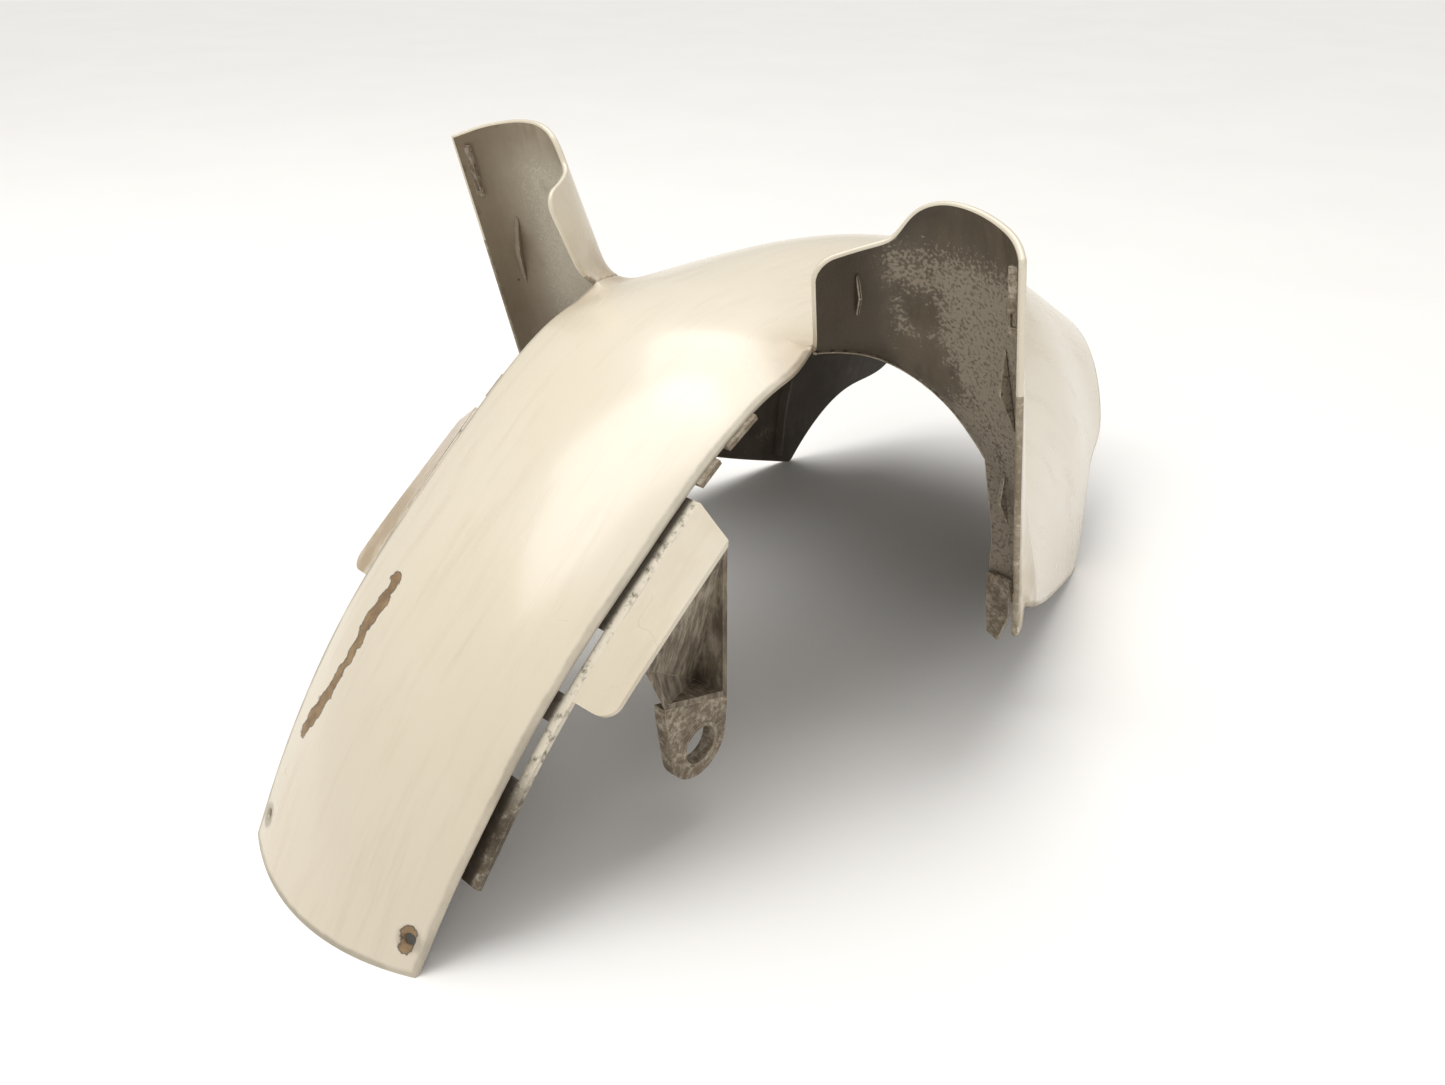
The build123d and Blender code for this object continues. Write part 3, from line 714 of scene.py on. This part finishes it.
def cream_paint(name, film=0.0, scratched=0.12):
    """Aged cream gloss paint: yellowing, stains at the shroud roots, a brown film toward the tail that is
    partly painted shade, scratches, specks and bare places.
    """
    look = looks()
    material, nodes, shader = new_material(name, coat=0.35, coat_roughness=0.13)
    tone = nodes.group("patches", Size=0.09, Cover=0.5, Soft=0.25, Roughen=0.5)
    colour = nodes.mix(tone["Mask"], look.paint, look.paint_warm)
    brushed = nodes.group("patches", Size=0.012, Stretch=(0.25, 2.2, 0.25), Cover=0.35, Soft=0.12, Seed=4.0)
    dull = nodes.times(brushed["Mask"], 0.12)
    colour = nodes.mix(dull, colour, look.stain)
    # brown film toward the tail: partly stain, partly painted shade for the light falling off there
    colour = nodes.cover(colour, look.stain, nodes.ramp(nodes.axes()[0], *TAIL_STAIN_AND_SHADE), 0.15)
    spread = nodes.group("patches", Size=0.03, Cover=0.62, Soft=0.22, Seed=9.0)["Mask"]
    root = nodes.ramp(nodes.mark("root"), *ROOT_STAIN)
    stain = nodes.times(nodes.times(root, spread), 0.68)
    colour = nodes.mix(stain, colour, look.stain)
    if film:
        smear = nodes.group("patches", Size=0.016, Stretch=(0.5, 1.0, 0.5), Cover=0.6, Soft=0.14, Seed=6.0)
        colour = nodes.cover(colour, look.stain, smear["Mask"], film)
    rim = nodes.group("rim_dirt", Width=2.8, Ragged=0.7, Grain=0.012)
    uneven = nodes.maths("MULTIPLY_ADD", spread, 0.35, 0.12)
    grime = nodes.times(rim["Mask"], uneven)
    colour = nodes.mix(grime, colour, look.dirt)
    specks = nodes.group("specks", Spacing=0.012, Radius=0.085, Share=0.22)
    colour = nodes.cover(colour, look.dirt, specks["Mask"], 0.8)
    scratch = nodes.group("scratches", Spacing=0.011, Width=0.0022, Share=scratched)
    lines = nodes.times(scratch["Mask"], 0.55)
    colour = nodes.mix(lines, colour, look.stain)
    torn = nodes.group("patches", Size=0.006, Cover=0.5, Soft=0.2, Seed=2.0)
    swing = nodes.times(nodes.minus(torn["Noise"], 0.5), BARE_SWING)
    ragged = nodes.plus(nodes.mark("bare"), swing)
    bare = nodes.ramp(ragged, *BARE_EDGE)
    moulding = nodes.mix(torn["Mask"], look.bare, look.bare_dark)
    colour = nodes.mix(nodes.ramp(ragged, *BARE_BURR), colour, look.dirt)
    nodes.put(shader, "Base Color", nodes.mix(bare, colour, moulding))
    marred = nodes.most(bare, grime)
    rough = nodes.plus(look.paint_roughness, nodes.times(tone["Noise"], 0.10))
    rough = nodes.plus(rough, nodes.times(nodes.plus(stain, dull), 0.35))
    rough = nodes.maths("ADD", rough, nodes.times(marred, 0.35), clamp=True)
    nodes.put(shader, "Roughness", rough)
    nodes.put(shader, "Coat Weight", nodes.ramp(marred, 0.0, 0.5, 0.35, 0.0))
    height = nodes.times(nodes.plus(bare, nodes.times(lines, 0.25)), -1.0)
    chips = nodes.bump(height, 0.6, distance=0.0004)
    ripple = nodes.noise(nodes.places(), 2.0, scale=260.0)["Fac"]
    nodes.put(shader, "Normal", nodes.bump(ripple, 0.05, Normal=chips))
    return material


def grimy_channel(name, tones, cover, seed, dark=(1.0, 1.1), low=0.0, film=0.3):
    """Dirty bare moulding: pebbled clouds, run marks, spots, and painted shade: a side that darkens between
    two |Y| in m.
    """
    base, deep, worn = TONES[tones]
    dirt = looks().dirt
    material, nodes, shader = new_material(name, specular=0.35)
    place = nodes.axes()
    broad = nodes.group("patches", Size=0.05, Cover=0.5, Soft=0.2, Seed=seed)["Mask"]
    colour = nodes.mix(broad, base, deep)
    runs = nodes.group("patches", Size=0.006, Stretch=(1.0, 1.0, 0.12), Cover=0.42, Soft=0.1, Seed=seed + 1)
    colour = nodes.cover(colour, deep, runs["Mask"], 0.5)
    # painted shade: the channel darkens toward one side between the two |Y| of dark, and the pale clouds keep
    # off it
    shaded = nodes.ramp(nodes.maths("ABSOLUTE", place[1]), *dark)
    cloud = nodes.group("patches", Size=0.035, Cover=cover, Soft=0.10, Seed=seed + 2)
    lit = nodes.times(cloud["Mask"], nodes.minus(1.0, shaded))
    cloudy = nodes.times(lit, nodes.ramp(place[2], *CHANNEL_TOP))
    foot = nodes.times(nodes.ramp(place[2], *CHANNEL_FOOT), low)
    rubbed_foot = nodes.times(foot, nodes.minus(1.1, nodes.times(broad, 0.6)))
    cloudy = nodes.most(cloudy, rubbed_foot)
    grain = nodes.group("patches", Size=0.0013, Cover=nodes.times(cloudy, 0.62), Soft=0.08, Seed=seed + 3,
                        Roughen=0.5)
    rubbed = grain["Mask"]
    colour = nodes.cover(colour, worn, cloudy, film)
    colour = nodes.cover(colour, worn, rubbed, 0.8)
    # painted shade laid in the deep tone
    colour = nodes.cover(colour, deep, shaded, 0.75)
    spots = nodes.group("specks", Spacing=0.008, Radius=0.13, Share=0.35, Seed=seed)
    colour = nodes.cover(colour, dirt, spots["Mask"], 0.8)
    rim = nodes.group("rim_dirt", Width=3.0, Ragged=1.5, Grain=0.006, Seed=seed)
    nodes.put(shader, "Base Color", nodes.cover(colour, dirt, rim["Mask"], 0.6))
    nodes.put(shader, "Roughness", nodes.plus(0.5, nodes.times(rubbed, 0.25)))
    relief = nodes.plus(nodes.times(grain["Noise"], 0.6), nodes.times(rubbed, 0.6))
    nodes.put(shader, "Normal", nodes.bump(relief, 0.5))
    return material


def worn_plastic(name, tones, cover, seed, brushed=(1.0, 1.0, 1.0), strength=0.5, overlay=None):
    """Unpainted moulding with ingrained dirt, a brushed or grainy face and scuffs."""
    base, deep, worn = TONES[tones]
    material, nodes, shader = new_material(name, specular=0.4)
    broad = nodes.group("patches", Size=0.02, Cover=0.5, Soft=0.2, Seed=seed)["Mask"]
    colour = nodes.mix(broad, base, deep)
    grain = nodes.group("patches", Size=0.0016, Stretch=brushed, Cover=0.55, Soft=0.15, Seed=seed + 1)
    colour = nodes.cover(colour, deep, grain["Mask"], 0.55)
    scuff = nodes.group("patches", Size=0.0032, Stretch=brushed, Cover=cover, Soft=0.1, Seed=seed + 2,
                        Roughen=0.7)
    share = nodes.minus(1.0, nodes.times(broad, 0.75))
    colour = nodes.cover(colour, worn, scuff["Mask"], share)
    spots = nodes.group("specks", Spacing=0.004, Radius=0.16, Share=0.4, Seed=seed)
    colour = nodes.cover(colour, looks().dirt, spots["Mask"], 0.7)
    if overlay:
        colour = overlay(nodes, colour)
    nodes.put(shader, "Base Color", colour)
    nodes.put(shader, "Roughness", nodes.plus(0.5, nodes.times(grain["Noise"], 0.3)))
    relief = nodes.plus(grain["Noise"], nodes.times(scuff["Noise"], 0.8))
    nodes.put(shader, "Normal", nodes.bump(relief, strength))
    return material


def flange_overlay(nodes, colour):
    """Chipped cream paint on the forward part of a flange, and painted shadow where the flange leaves the
    crown's edge.
    """
    place = nodes.axes()
    chipped = nodes.group("patches", Size=0.0042, Cover=0.66, Soft=0.1, Seed=3.0, Roughen=0.7)
    painted = nodes.times(nodes.ramp(place[0], *FLANGE_PAINT), chipped["Mask"])
    colour = nodes.cover(colour, looks().paint, painted, 0.9)
    reach, slope = FLANGE_ROOT_LINE
    edge = nodes.plus(reach, nodes.times(place[0], slope))
    gap = nodes.minus(nodes.maths("ABSOLUTE", place[1]), edge)
    # painted shadow: the dirt colour in a band just out from the crown's edge, which shades the flange there
    return nodes.cover(colour, looks().dirt, nodes.ramp(gap, *FLANGE_SHADOW), 0.85)


def plain_floor():
    """Matt pale ground with a very faint unevenness."""
    material, nodes, shader = new_material("pale_ground", gloss=0.85, specular=0.2)
    ground = looks().ground
    noise = nodes.noise(nodes.places(), 4.0, scale=6.0)["Fac"]
    nodes.put(shader, "Base Color", nodes.mix(noise, [channel * 0.94 for channel in ground], ground))
    return material


def make_materials():
    Workshop.fold = Fold(sizes().fold_radius / MM)
    Workshop.groups = {"patches": patches_group(), "specks": specks_group(), "scratches": scratches_group(),
                       "rim_dirt": rim_dirt_group()}
    Workshop.materials = {
        "paint": cream_paint("cream_paint"),
        "left_wing": cream_paint("stained_cream_paint", film=0.9, scratched=0.2),
        "right_wing": cream_paint("scuffed_cream_paint", film=0.12, scratched=0.35),
        # dark: the |Y| span over which each channel takes painted shade
        "left_channel": grimy_channel("left_channel_grime", "left_channel", 0.75, 3.0, dark=(0.108, 0.146),
                                      low=0.6, film=0.8),
        "right_channel": grimy_channel("right_channel_grime", "right_channel", 0.70, 5.0, dark=(0.087, 0.075),
                                       low=0.85, film=0.2),
        "underside": grimy_channel("underside_grime", "underside", 0.35, 8.0),
        "rim": worn_plastic("worn_rim", "rim", 0.35, 1.0, strength=0.3),
        "flange": worn_plastic("flange_moulding", "flange", 0.36, 2.0, overlay=flange_overlay),
        "bracket": worn_plastic("bracket_moulding", "bracket", 0.46, 4.0, brushed=(1.0, 0.5, 0.2)),
        "tab": worn_plastic("tab_moulding", "tab", 0.46, 6.0, strength=0.8),
        "edge": worn_plastic("rubbed_and_painted_lit_edge", "edge", 0.42, 7.0, strength=0.3),
    }


# ---- settings shown in the sidebar -------------------------------------------------------------


def number(name, description, default, high, low=0, **more):
    return FloatProperty(name=name, description=description, default=default, min=low, max=high, **more)


def length(name, description, default, low, high):
    return number(name, description, default * MM, high * MM, low * MM, unit="LENGTH", precision=4)


def triple(name, description, default, **more):
    return FloatVectorProperty(name=name, description=description, default=default, **more)


def tint(name, description, default):
    return triple(name, description, default, min=0, max=1, subtype="COLOR")


class MudguardSizes(bpy.types.PropertyGroup):
    wall: length("Wall", "Thickness of the moulded skin", 2.6, 1.5, 4)
    crown_rise: length("Crown Rise", "How far the crown's middle stands above its side edges", 10.5, 5, 20)
    rim_round: length("Rim Round", "How far the rounded rims stand out", 0.8, 0.1, 1.3)
    fold_radius: length("Fold Radius", "Radius where a shroud rises from the crown", 15.0, 2, 24)
    moulding_bevel: length("Moulding Bevel", "Rounding of the brackets' and flanges' edges", 0.45, 0.05, 1)


class MudguardLooks(bpy.types.PropertyGroup):
    paint: tint("Paint", "Cream gloss paint", (0.72, 0.655, 0.53))
    paint_warm: tint("Warm Paint", "Where the paint has yellowed", (0.69, 0.61, 0.47))
    paint_roughness: number("Paint Roughness", "Roughness of the clean paint", 0.20, 1, subtype="FACTOR")
    stain: tint("Stain", "Brown film in the corners and scratches", (0.36, 0.26, 0.15))
    dirt: tint("Dirt", "Ingrained road dirt", (0.045, 0.033, 0.022))
    bare: tint("Bare Moulding", "Old plastic where the paint is gone", (0.30, 0.20, 0.10))
    bare_dark: tint("Dark Bare Moulding", "Darker places of the bare plastic", (0.17, 0.105, 0.05))
    ground: tint("Ground", "Plain pale floor", (0.90, 0.885, 0.86))


class MudguardStage(bpy.types.PropertyGroup):
    key_watts: number("Overhead Lamp", "Power of the large overhead lamp", 9, 500)
    side_watts: number("Side Lamp", "Power of the soft lamp behind on the right", 6, 500)
    sky: number("Surroundings", "Strength of the even light all round", 0.48, 5)
    sun: number("High Window", "Strength of the broad high light", 1.6, 20)
    lens: number("Lens", "Focal length", 28.36, 200, 10, unit="CAMERA")
    camera_place: triple("Camera Place", "Where the camera stands", (-0.3735, -0.3046, 0.3300), unit="LENGTH",
                         subtype="TRANSLATION")
    camera_turn: triple("Camera Turn", "How the camera is turned",
                        (math.radians(59.33), 0.0, math.radians(-48.69)), unit="ROTATION", subtype="EULER")


def sizes():
    return bpy.context.scene.mudguard_sizes


def looks():
    return bpy.context.scene.mudguard_looks


# ---- skins -------------------------------------------------------------------------------------

SEAM_SLOPE = -0.07           # along-the-length part of the normal shared by crown and nose at the seam
SEAM_SOFT = 24.0             # how far the shading is shared on each side of the seam
SEAM_LIFT = 30.0             # over what length the crown eases onto the nose's height
SEAM_SIDE, SEAM_FADE = 44.0, 12.0      # |Y| from which the shared shading fades out, and over what width
SEAM_NEAR, FOLD_NEAR = 1.5, 12.0       # a border this near the seam or a fold is no rim
ACROSS_STEPS = 61            # steps across the crown at which its end on the ground is found
GROUND_SHARE = 0.3           # share of the crown's length before which that end lies
# a way out of the crown, and a place inside the nose and inside a shroud, that tell outer faces
CROWN_OUTWARD = np.array([-0.3, 0, 1.0])
NOSE_MIDDLE, SHROUD_MIDDLE = (300, 0, 0), (205, 100, 0)

# a shroud's rim height depends on the width at that height: first guess, and rounds that settle it
OUTLINE_STEPS, RIM_GUESS, RIM_ROUNDS = 161, 225.0, 20
PAINTED_RIM_Z = 175.0        # above this, and inward of the next, a shroud's rim is painted
PAINTED_RIM_Y = 60.0
CORNER_ROUND = 7.0           # rounding of a shroud's inner top corner
FOLD_HOLD = 1.5              # how far a shroud's skin reaches below the fold, so that it closes on the nose
NOSE_TUCK = 1.2              # how far the nose's skin reaches into a shroud's wall

# bare streak on the tail and torn paint at a tail hole: (X of the crown edge, share of the crown's half
# width, half width of the bare place)
BARE_STREAK = [(71.6, 0.615, 1.6), (66, 0.56, 3.2), (60, 0.585, 3.6), (53.5, 0.585, 2.6), (46, 0.605, 2.2),
               (38.5, 0.65, 2.6), (32, 0.71, 3.4), (27, 0.765, 2.4)]
TORN_HOLE = [(4.4, -0.865, 2.8), (6.4, -0.85, 3.1)]
BARE_STEPS = 90


def seam_shading(points, normals):
    """Shares one lengthwise slope between crown and nose near the seam."""
    near = 1 - smooth(np.abs(points[:, 0] - SEAM_X) / SEAM_SOFT)
    near = near * (1 - smooth((np.abs(points[:, 1]) - SEAM_SIDE) / SEAM_FADE))
    shaded = normals.copy()
    shaded[:, 0] = blend(normals[:, 0], SEAM_SLOPE, near)
    return unit(shaded)


def bare_distance(points, rise):
    """Signed distance in mm from the bare places of the crown, negative inside them."""
    gap = np.full(len(points), FAR_MARK)
    for places in (BARE_STREAK, TORN_HOLE):
        line = Curve([(crown_share(x), across, half) for x, across, half in places])
        run = line.at(np.linspace(0, 1, BARE_STEPS))
        centre = crown_point(run[:, 0], run[:, 1], rise)
        apart = np.linalg.norm(points[:, None] - centre[None], axis=-1) - run[None, :, 2]
        gap = np.minimum(gap, apart.min(1))
    return gap


def skin_piece(name, sheet, materials, nodes, mirrored=False, hidden=None, bare=None, clean=None):
    """Object for a sheet, with its rim, root and bare marks; a clean border marks only the inner face."""
    border = sheet.border
    if hidden is not None:
        border = border[~hidden(border)]
    edge = distance_to(sheet.points, border)
    if clean is not None:
        outside = np.ones(len(edge), bool)
        outside[sheet.count:2 * sheet.count] = False
        edge[outside] = distance_to(sheet.points[outside], border[~clean(border)])
    _, root = Workshop.fold.nearest(sheet.points)
    marks = {"edge": edge, "root": np.minimum(root, FAR_MARK),
             "bare": np.full(len(sheet.points), FAR_MARK) if bare is None else bare(sheet.points)}
    points, shades, faces = sheet.points, sheet.shades, sheet.faces
    if mirrored:
        points, shades = points * [1, -1, 1], shades * [1, -1, 1]
        faces = [face[::-1] for face in faces]
    piece = new_piece(name, points, faces, sheet.finish, materials, shades, marks)
    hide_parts(*nodes)


def new_sheet(flat, keep, grid, outward, normal_fix=None):
    """Sheet over a face that is bent into the fold and kept where keep(u, its points) is above zero."""
    given = sizes()
    return Sheet(lambda u, v: Workshop.fold.bend(flat(u, v)), lambda u, v: keep(u, flat(u, v)), *grid,
                 given.wall / MM, given.rim_round / MM, outward, normal_fix)


def build_crown():
    use = Workshop.materials
    rise = sizes().crown_rise / MM
    across_steps = np.linspace(-1, 1, ACROSS_STEPS)
    first, last = np.zeros_like(across_steps), np.full_like(across_steps, GROUND_SHARE)
    ground = solve(lambda s: crown_point(s, across_steps, rise)[:, 2], first, last)
    hole_share = crown_share(TAIL_HOLE_X)
    hole_point, hole_axis = station(np.array(hole_share))

    def flat(u, v):
        across = 2 * v - 1
        start = np.interp(across, across_steps, ground)
        points = crown_point(blend(start, 1, u), across, rise)
        end = crown_point(np.ones_like(across), across, rise)
        lift = nose_height(np.full_like(across, SEAM_X), end[..., 1]) - end[..., 2]
        points[..., 2] += lift * smooth((points[..., 0] - SEAM_X + SEAM_LIFT) / SEAM_LIFT)
        return points

    def keep(_, points):
        from_axis = points * [1, 0, 1] - hole_point * [1, 0, 1]
        beside = from_axis - (from_axis @ hole_axis)[:, None] * hole_axis
        aside = np.abs(points[:, 1]) - TAIL_HOLE_Y
        return np.sqrt(np.sum(beside ** 2, -1) + aside ** 2) - TAIL_HOLE_RADIUS

    sheet = new_sheet(flat, keep, CROWN_GRID, lambda p: CROWN_OUTWARD, seam_shading)
    skin_piece("crown_skin", sheet, [use["paint"], use["underside"], use["paint"]], ["crown_shell"],
               hidden=lambda p: np.abs(p[:, 0] - SEAM_X) < SEAM_NEAR,
               bare=lambda p: bare_distance(p, rise))


def build_nose():
    use = Workshop.materials

    def keep(_, points):
        return np.minimum(outside_shroud(points) + NOSE_TUCK, points[:, 2] - lower_edge(points[:, 0]))

    def hidden(points):
        fold_gap = Workshop.fold.nearest(points)[1]
        return (np.abs(points[:, 0] - SEAM_X) < SEAM_NEAR) | (fold_gap < FOLD_NEAR)

    sheet = new_sheet(nose_point, keep, NOSE_GRID, lambda p: unit(p - NOSE_MIDDLE), seam_shading)
    skin_piece("nose_skin", sheet, [use["paint"], use["underside"], use["rim"]], ["nose_shell"],
               hidden=hidden)


def build_shroud(side):
    use = Workshop.materials
    share_steps = np.linspace(0, 1, OUTLINE_STEPS)
    fold_line = Workshop.fold.line
    fold_steps = np.linspace(0, 1, len(fold_line))
    top = np.full_like(share_steps, RIM_GUESS)
    for _ in range(RIM_ROUNDS):
        top = shroud_rim(shroud_point(share_steps, top)[:, 1])
    outline = np.linalg.norm(np.diff(shroud_point(share_steps, top), axis=0), axis=1).sum()

    def flat(u, v):
        return shroud_point(u, blend(SHROUD_FLOOR_Z, np.interp(u, share_steps, top), v))

    def keep(u, points):
        under = np.where(points[:, 1] < ARCH[-1][0], arch_height(points[:, 1]), 0)
        under = np.minimum(under, np.interp(u, fold_steps, fold_line[:, 2]) - FOLD_HOLD)
        above = points[:, 2] - np.maximum(under, lower_edge(points[:, 0]))
        inward, below = u * outline, np.interp(u, share_steps, top) - points[:, 2]
        corner = CORNER_ROUND - np.hypot(CORNER_ROUND - inward, CORNER_ROUND - below)
        rounded = (inward < CORNER_ROUND) & (below < CORNER_ROUND)
        return np.where(rounded, np.minimum(above, corner), above)

    def painted(points):
        return (points[:, 2] > PAINTED_RIM_Z) | (points[:, 1] < PAINTED_RIM_Y)

    sheet = new_sheet(flat, keep, SHROUD_GRID, lambda p: unit((p - SHROUD_MIDDLE) * [1, 1, 0]))
    painted_points = painted(sheet.points)
    sheet.finish = [0 if kind == 2 and painted_points[face].all() else kind
                    for kind, face in zip(sheet.finish, sheet.faces)]
    skin_piece(f"{side}_shroud_skin", sheet, [use["paint"], use[f"{side}_channel"], use["rim"]],
               [f"{side}_fork_shroud"], mirrored=side == "right", clean=painted)


def build_shrouds():
    for side in SIDES:
        build_shroud(side)


# ---- mouldings worked over from their CAD shapes -----------------------------------------------

WELD = 2e-5                                            # points this near are one, m
FLAT, SHARP, CREASE = (math.radians(angle) for angle in (1.2, 28, 40))
# each side's mouldings: title, CAD node, materials of face and edge, slot, share of the bevel
MOULDINGS = [
    ("flange_strip", "side_flange", "flange", "edge", "worn_moulding", 0.7),
    ("wing_ledge", "side_wing", "{side}_wing", "edge", "painted_skin", 1.0),
    ("bracket_gusset", "side_bracket", "bracket", "edge", "bracket_moulding", 1.2),
    ("bolt_tab", "mount_tab", "tab", "edge", "bracket_moulding", 2.0),
    ("lug_strip", "trim_lug", "tab", "edge", "worn_moulding", 0.7),
    # on the thin fins the pale rubbed edges also paint the light on their lit side
    ("channel_fins", "shroud_ribs", "{side}_channel", "edge", "worn_moulding", 0.8),
    ("tongue_stub", "shroud_tongue", "tab", "edge", "worn_moulding", 1.0),
    ("skirt_fin", "skirt_rib", "underside", "underside", "worn_moulding", 0.8),
    ("hook_stubs", "edge_hooks", "edge", "edge", "painted_skin", 0.7),
]


def mesh_from(name, shape, *materials):
    """Mesh made of a bmesh, which is freed."""
    mesh = bpy.data.meshes.new(name)
    shape.to_mesh(mesh)
    shape.free()
    for material in materials:
        mesh.materials.append(material)
    return mesh


def worked_copy(name, node, face, edge, bevel):
    """Copy of a CAD node's mesh with welded, rounded edges that show rubbed plastic."""
    shape = bmesh.new()
    shape.from_mesh(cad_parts[node].data)
    bmesh.ops.remove_doubles(shape, verts=shape.verts, dist=WELD)
    bmesh.ops.dissolve_limit(shape, angle_limit=FLAT, verts=shape.verts, edges=shape.edges)
    for polygon in shape.faces:
        polygon.material_index = 0
    sharp = [e for e in shape.edges if len(e.link_faces) == 2 and e.calc_face_angle(0) > SHARP]
    bmesh.ops.bevel(shape, geom=sharp, offset=bevel, offset_type="OFFSET", segments=2, profile=0.5,
                    affect="EDGES", clamp_overlap=True, material=1)
    bmesh.ops.recalc_face_normals(shape, faces=shape.faces)
    mesh = mesh_from(name, shape, face, edge)
    mesh.polygons.foreach_set("use_smooth", np.ones(len(mesh.polygons), bool))
    mesh.set_sharp_from_angle(angle=CREASE)
    set_marks(mesh, {mark: np.full(len(mesh.vertices), FAR_MARK) for mark in ("edge", "root", "bare")})
    piece = placed(name, mesh)
    even = piece.modifiers.new("even_shading", "WEIGHTED_NORMAL")
    even.keep_sharp = True
    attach(piece, "root")
    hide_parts(node)


def build_mouldings():
    """Flange, wing, bracket, tab and the small members of both sides."""
    use, bevel = Workshop.materials, sizes().moulding_bevel
    for side in SIDES:
        for title, node, face, edge, slot, share in MOULDINGS:
            worked_copy(f"{side}_{title}", f"{side}_{node}", use[face.format(side=side)], use[edge],
                        bevel * share)


# ---- stage -------------------------------------------------------------------------------------

FLOOR_SIZE, FLOOR_CELLS = 6.0, 24
# places from the middle of the part, and sizes, m
OVERHEAD_PLACE, OVERHEAD_SIZE = (-0.50, 0.42, 1.35), (0.75, 1.0)
SIDE_PLACE, SIDE_SIZE = (-0.9, -1.3, 0.8), (1.2, 1.2)
WINDOW_AIM, WINDOW_ANGLE = (-0.27, -0.22, -0.93), math.radians(50)
SKY_TINT = (1.0, 0.985, 0.96, 1.0)


def turned(aim):
    """Turn of a lamp that shines along a direction."""
    return Vector(aim).to_track_quat("-Z", "Y").to_euler()


def soft_lamp(name, place, size, watts):
    """Soft lamp at a place from the middle of the part, which it shines on."""
    data = bpy.data.lights.new(name, "AREA")
    data.shape = "RECTANGLE"
    data.size, data.size_y = size
    data.energy = watts
    lamp = placed(name, data)
    middle = (CAD_BOX[0] + CAD_BOX[1]) / 2
    lamp.location = middle + Vector(place)
    lamp.rotation_euler = turned(middle - lamp.location)


def build_stage():
    given = bpy.context.scene.mudguard_stage
    shape = bmesh.new()
    bmesh.ops.create_grid(shape, x_segments=FLOOR_CELLS, y_segments=FLOOR_CELLS, size=FLOOR_SIZE)
    floor = placed("floor", mesh_from("floor", shape, plain_floor()))
    soft_lamp("overhead_lamp", OVERHEAD_PLACE, OVERHEAD_SIZE, given.key_watts)
    soft_lamp("side_lamp", SIDE_PLACE, SIDE_SIZE, given.side_watts)
    sun = bpy.data.lights.new("high_window", "SUN")
    sun.energy, sun.angle = given.sun, WINDOW_ANGLE
    placed("high_window", sun).rotation_euler = turned(WINDOW_AIM)
    world = bpy.data.worlds.new("even_light")
    world.use_nodes = True
    light = world.node_tree.nodes["Background"].inputs
    light["Color"].default_value = SKY_TINT
    light["Strength"].default_value = given.sky
    bpy.context.scene.world = world
    bpy.context.scene.view_settings.view_transform = "Standard"
    data = bpy.data.cameras.new("camera")
    data.lens, data.sensor_width = given.lens, 36.0
    data.clip_start, data.clip_end = 0.01, 50
    camera = placed("camera", data)
    camera.location = given.camera_place
    camera.rotation_euler = given.camera_turn
    bpy.context.scene.camera = camera


# ---- operators, panel and registration ---------------------------------------------------------


class Step:
    """One building step; the classes below give it a name and its work."""

    def execute(self, context):
        self.work()
        return {"FINISHED"}


class MUDGUARD_OT_materials(Step, bpy.types.Operator):
    """Make the paint, grime and moulding materials"""
    bl_idname = "mudguard.materials"
    bl_label = "Paint and Grime"
    work = staticmethod(make_materials)


class MUDGUARD_OT_crown(Step, bpy.types.Operator):
    """Build the painted crown and tail skin"""
    bl_idname = "mudguard.crown"
    bl_label = "Crown Skin"
    work = staticmethod(build_crown)


class MUDGUARD_OT_nose(Step, bpy.types.Operator):
    """Build the painted nose skin with its two skirts"""
    bl_idname = "mudguard.nose"
    bl_label = "Nose Skin"
    work = staticmethod(build_nose)


class MUDGUARD_OT_shrouds(Step, bpy.types.Operator):
    """Build the two fork shrouds with their grimy channels"""
    bl_idname = "mudguard.shrouds"
    bl_label = "Fork Shrouds"
    work = staticmethod(build_shrouds)


class MUDGUARD_OT_mouldings(Step, bpy.types.Operator):
    """Build the flanges, wings, brackets, tabs and small members of both sides"""
    bl_idname = "mudguard.mouldings"
    bl_label = "Side Mouldings"
    work = staticmethod(build_mouldings)


class MUDGUARD_OT_stage(Step, bpy.types.Operator):
    """Build the plain floor, the soft lamps and the camera"""
    bl_idname = "mudguard.stage"
    bl_label = "Stage"
    work = staticmethod(build_stage)


class MUDGUARD_PT_panel(bpy.types.Panel):
    bl_label = "Front Mudguard"
    bl_idname = "MUDGUARD_PT_panel"
    bl_space_type = "VIEW_3D"
    bl_region_type = "UI"
    bl_category = "Mudguard"

    def draw(self, context):
        for attribute, group in GROUPS.items():
            box = self.layout.box()
            for name in group.__annotations__:
                box.prop(getattr(context.scene, attribute), name)
        for step in STEPS:
            self.layout.operator(step.bl_idname)


STEPS = (MUDGUARD_OT_materials, MUDGUARD_OT_crown, MUDGUARD_OT_nose, MUDGUARD_OT_shrouds,
         MUDGUARD_OT_mouldings, MUDGUARD_OT_stage)
GROUPS = {"mudguard_sizes": MudguardSizes, "mudguard_looks": MudguardLooks, "mudguard_stage": MudguardStage}


def register():
    for item in (*GROUPS.values(), *STEPS, MUDGUARD_PT_panel):
        bpy.utils.register_class(item)
    for name, group in GROUPS.items():
        setattr(bpy.types.Scene, name, PointerProperty(type=group))


def unregister():
    for name in GROUPS:
        delattr(bpy.types.Scene, name)
    for item in reversed((*GROUPS.values(), *STEPS, MUDGUARD_PT_panel)):
        bpy.utils.unregister_class(item)


def main():
    register()
    bpy.ops.mudguard.materials()
    bpy.ops.mudguard.crown()
    bpy.ops.mudguard.nose()
    bpy.ops.mudguard.shrouds()
    bpy.ops.mudguard.mouldings()
    bpy.ops.mudguard.stage()


if __name__ == "__main__":
    main()
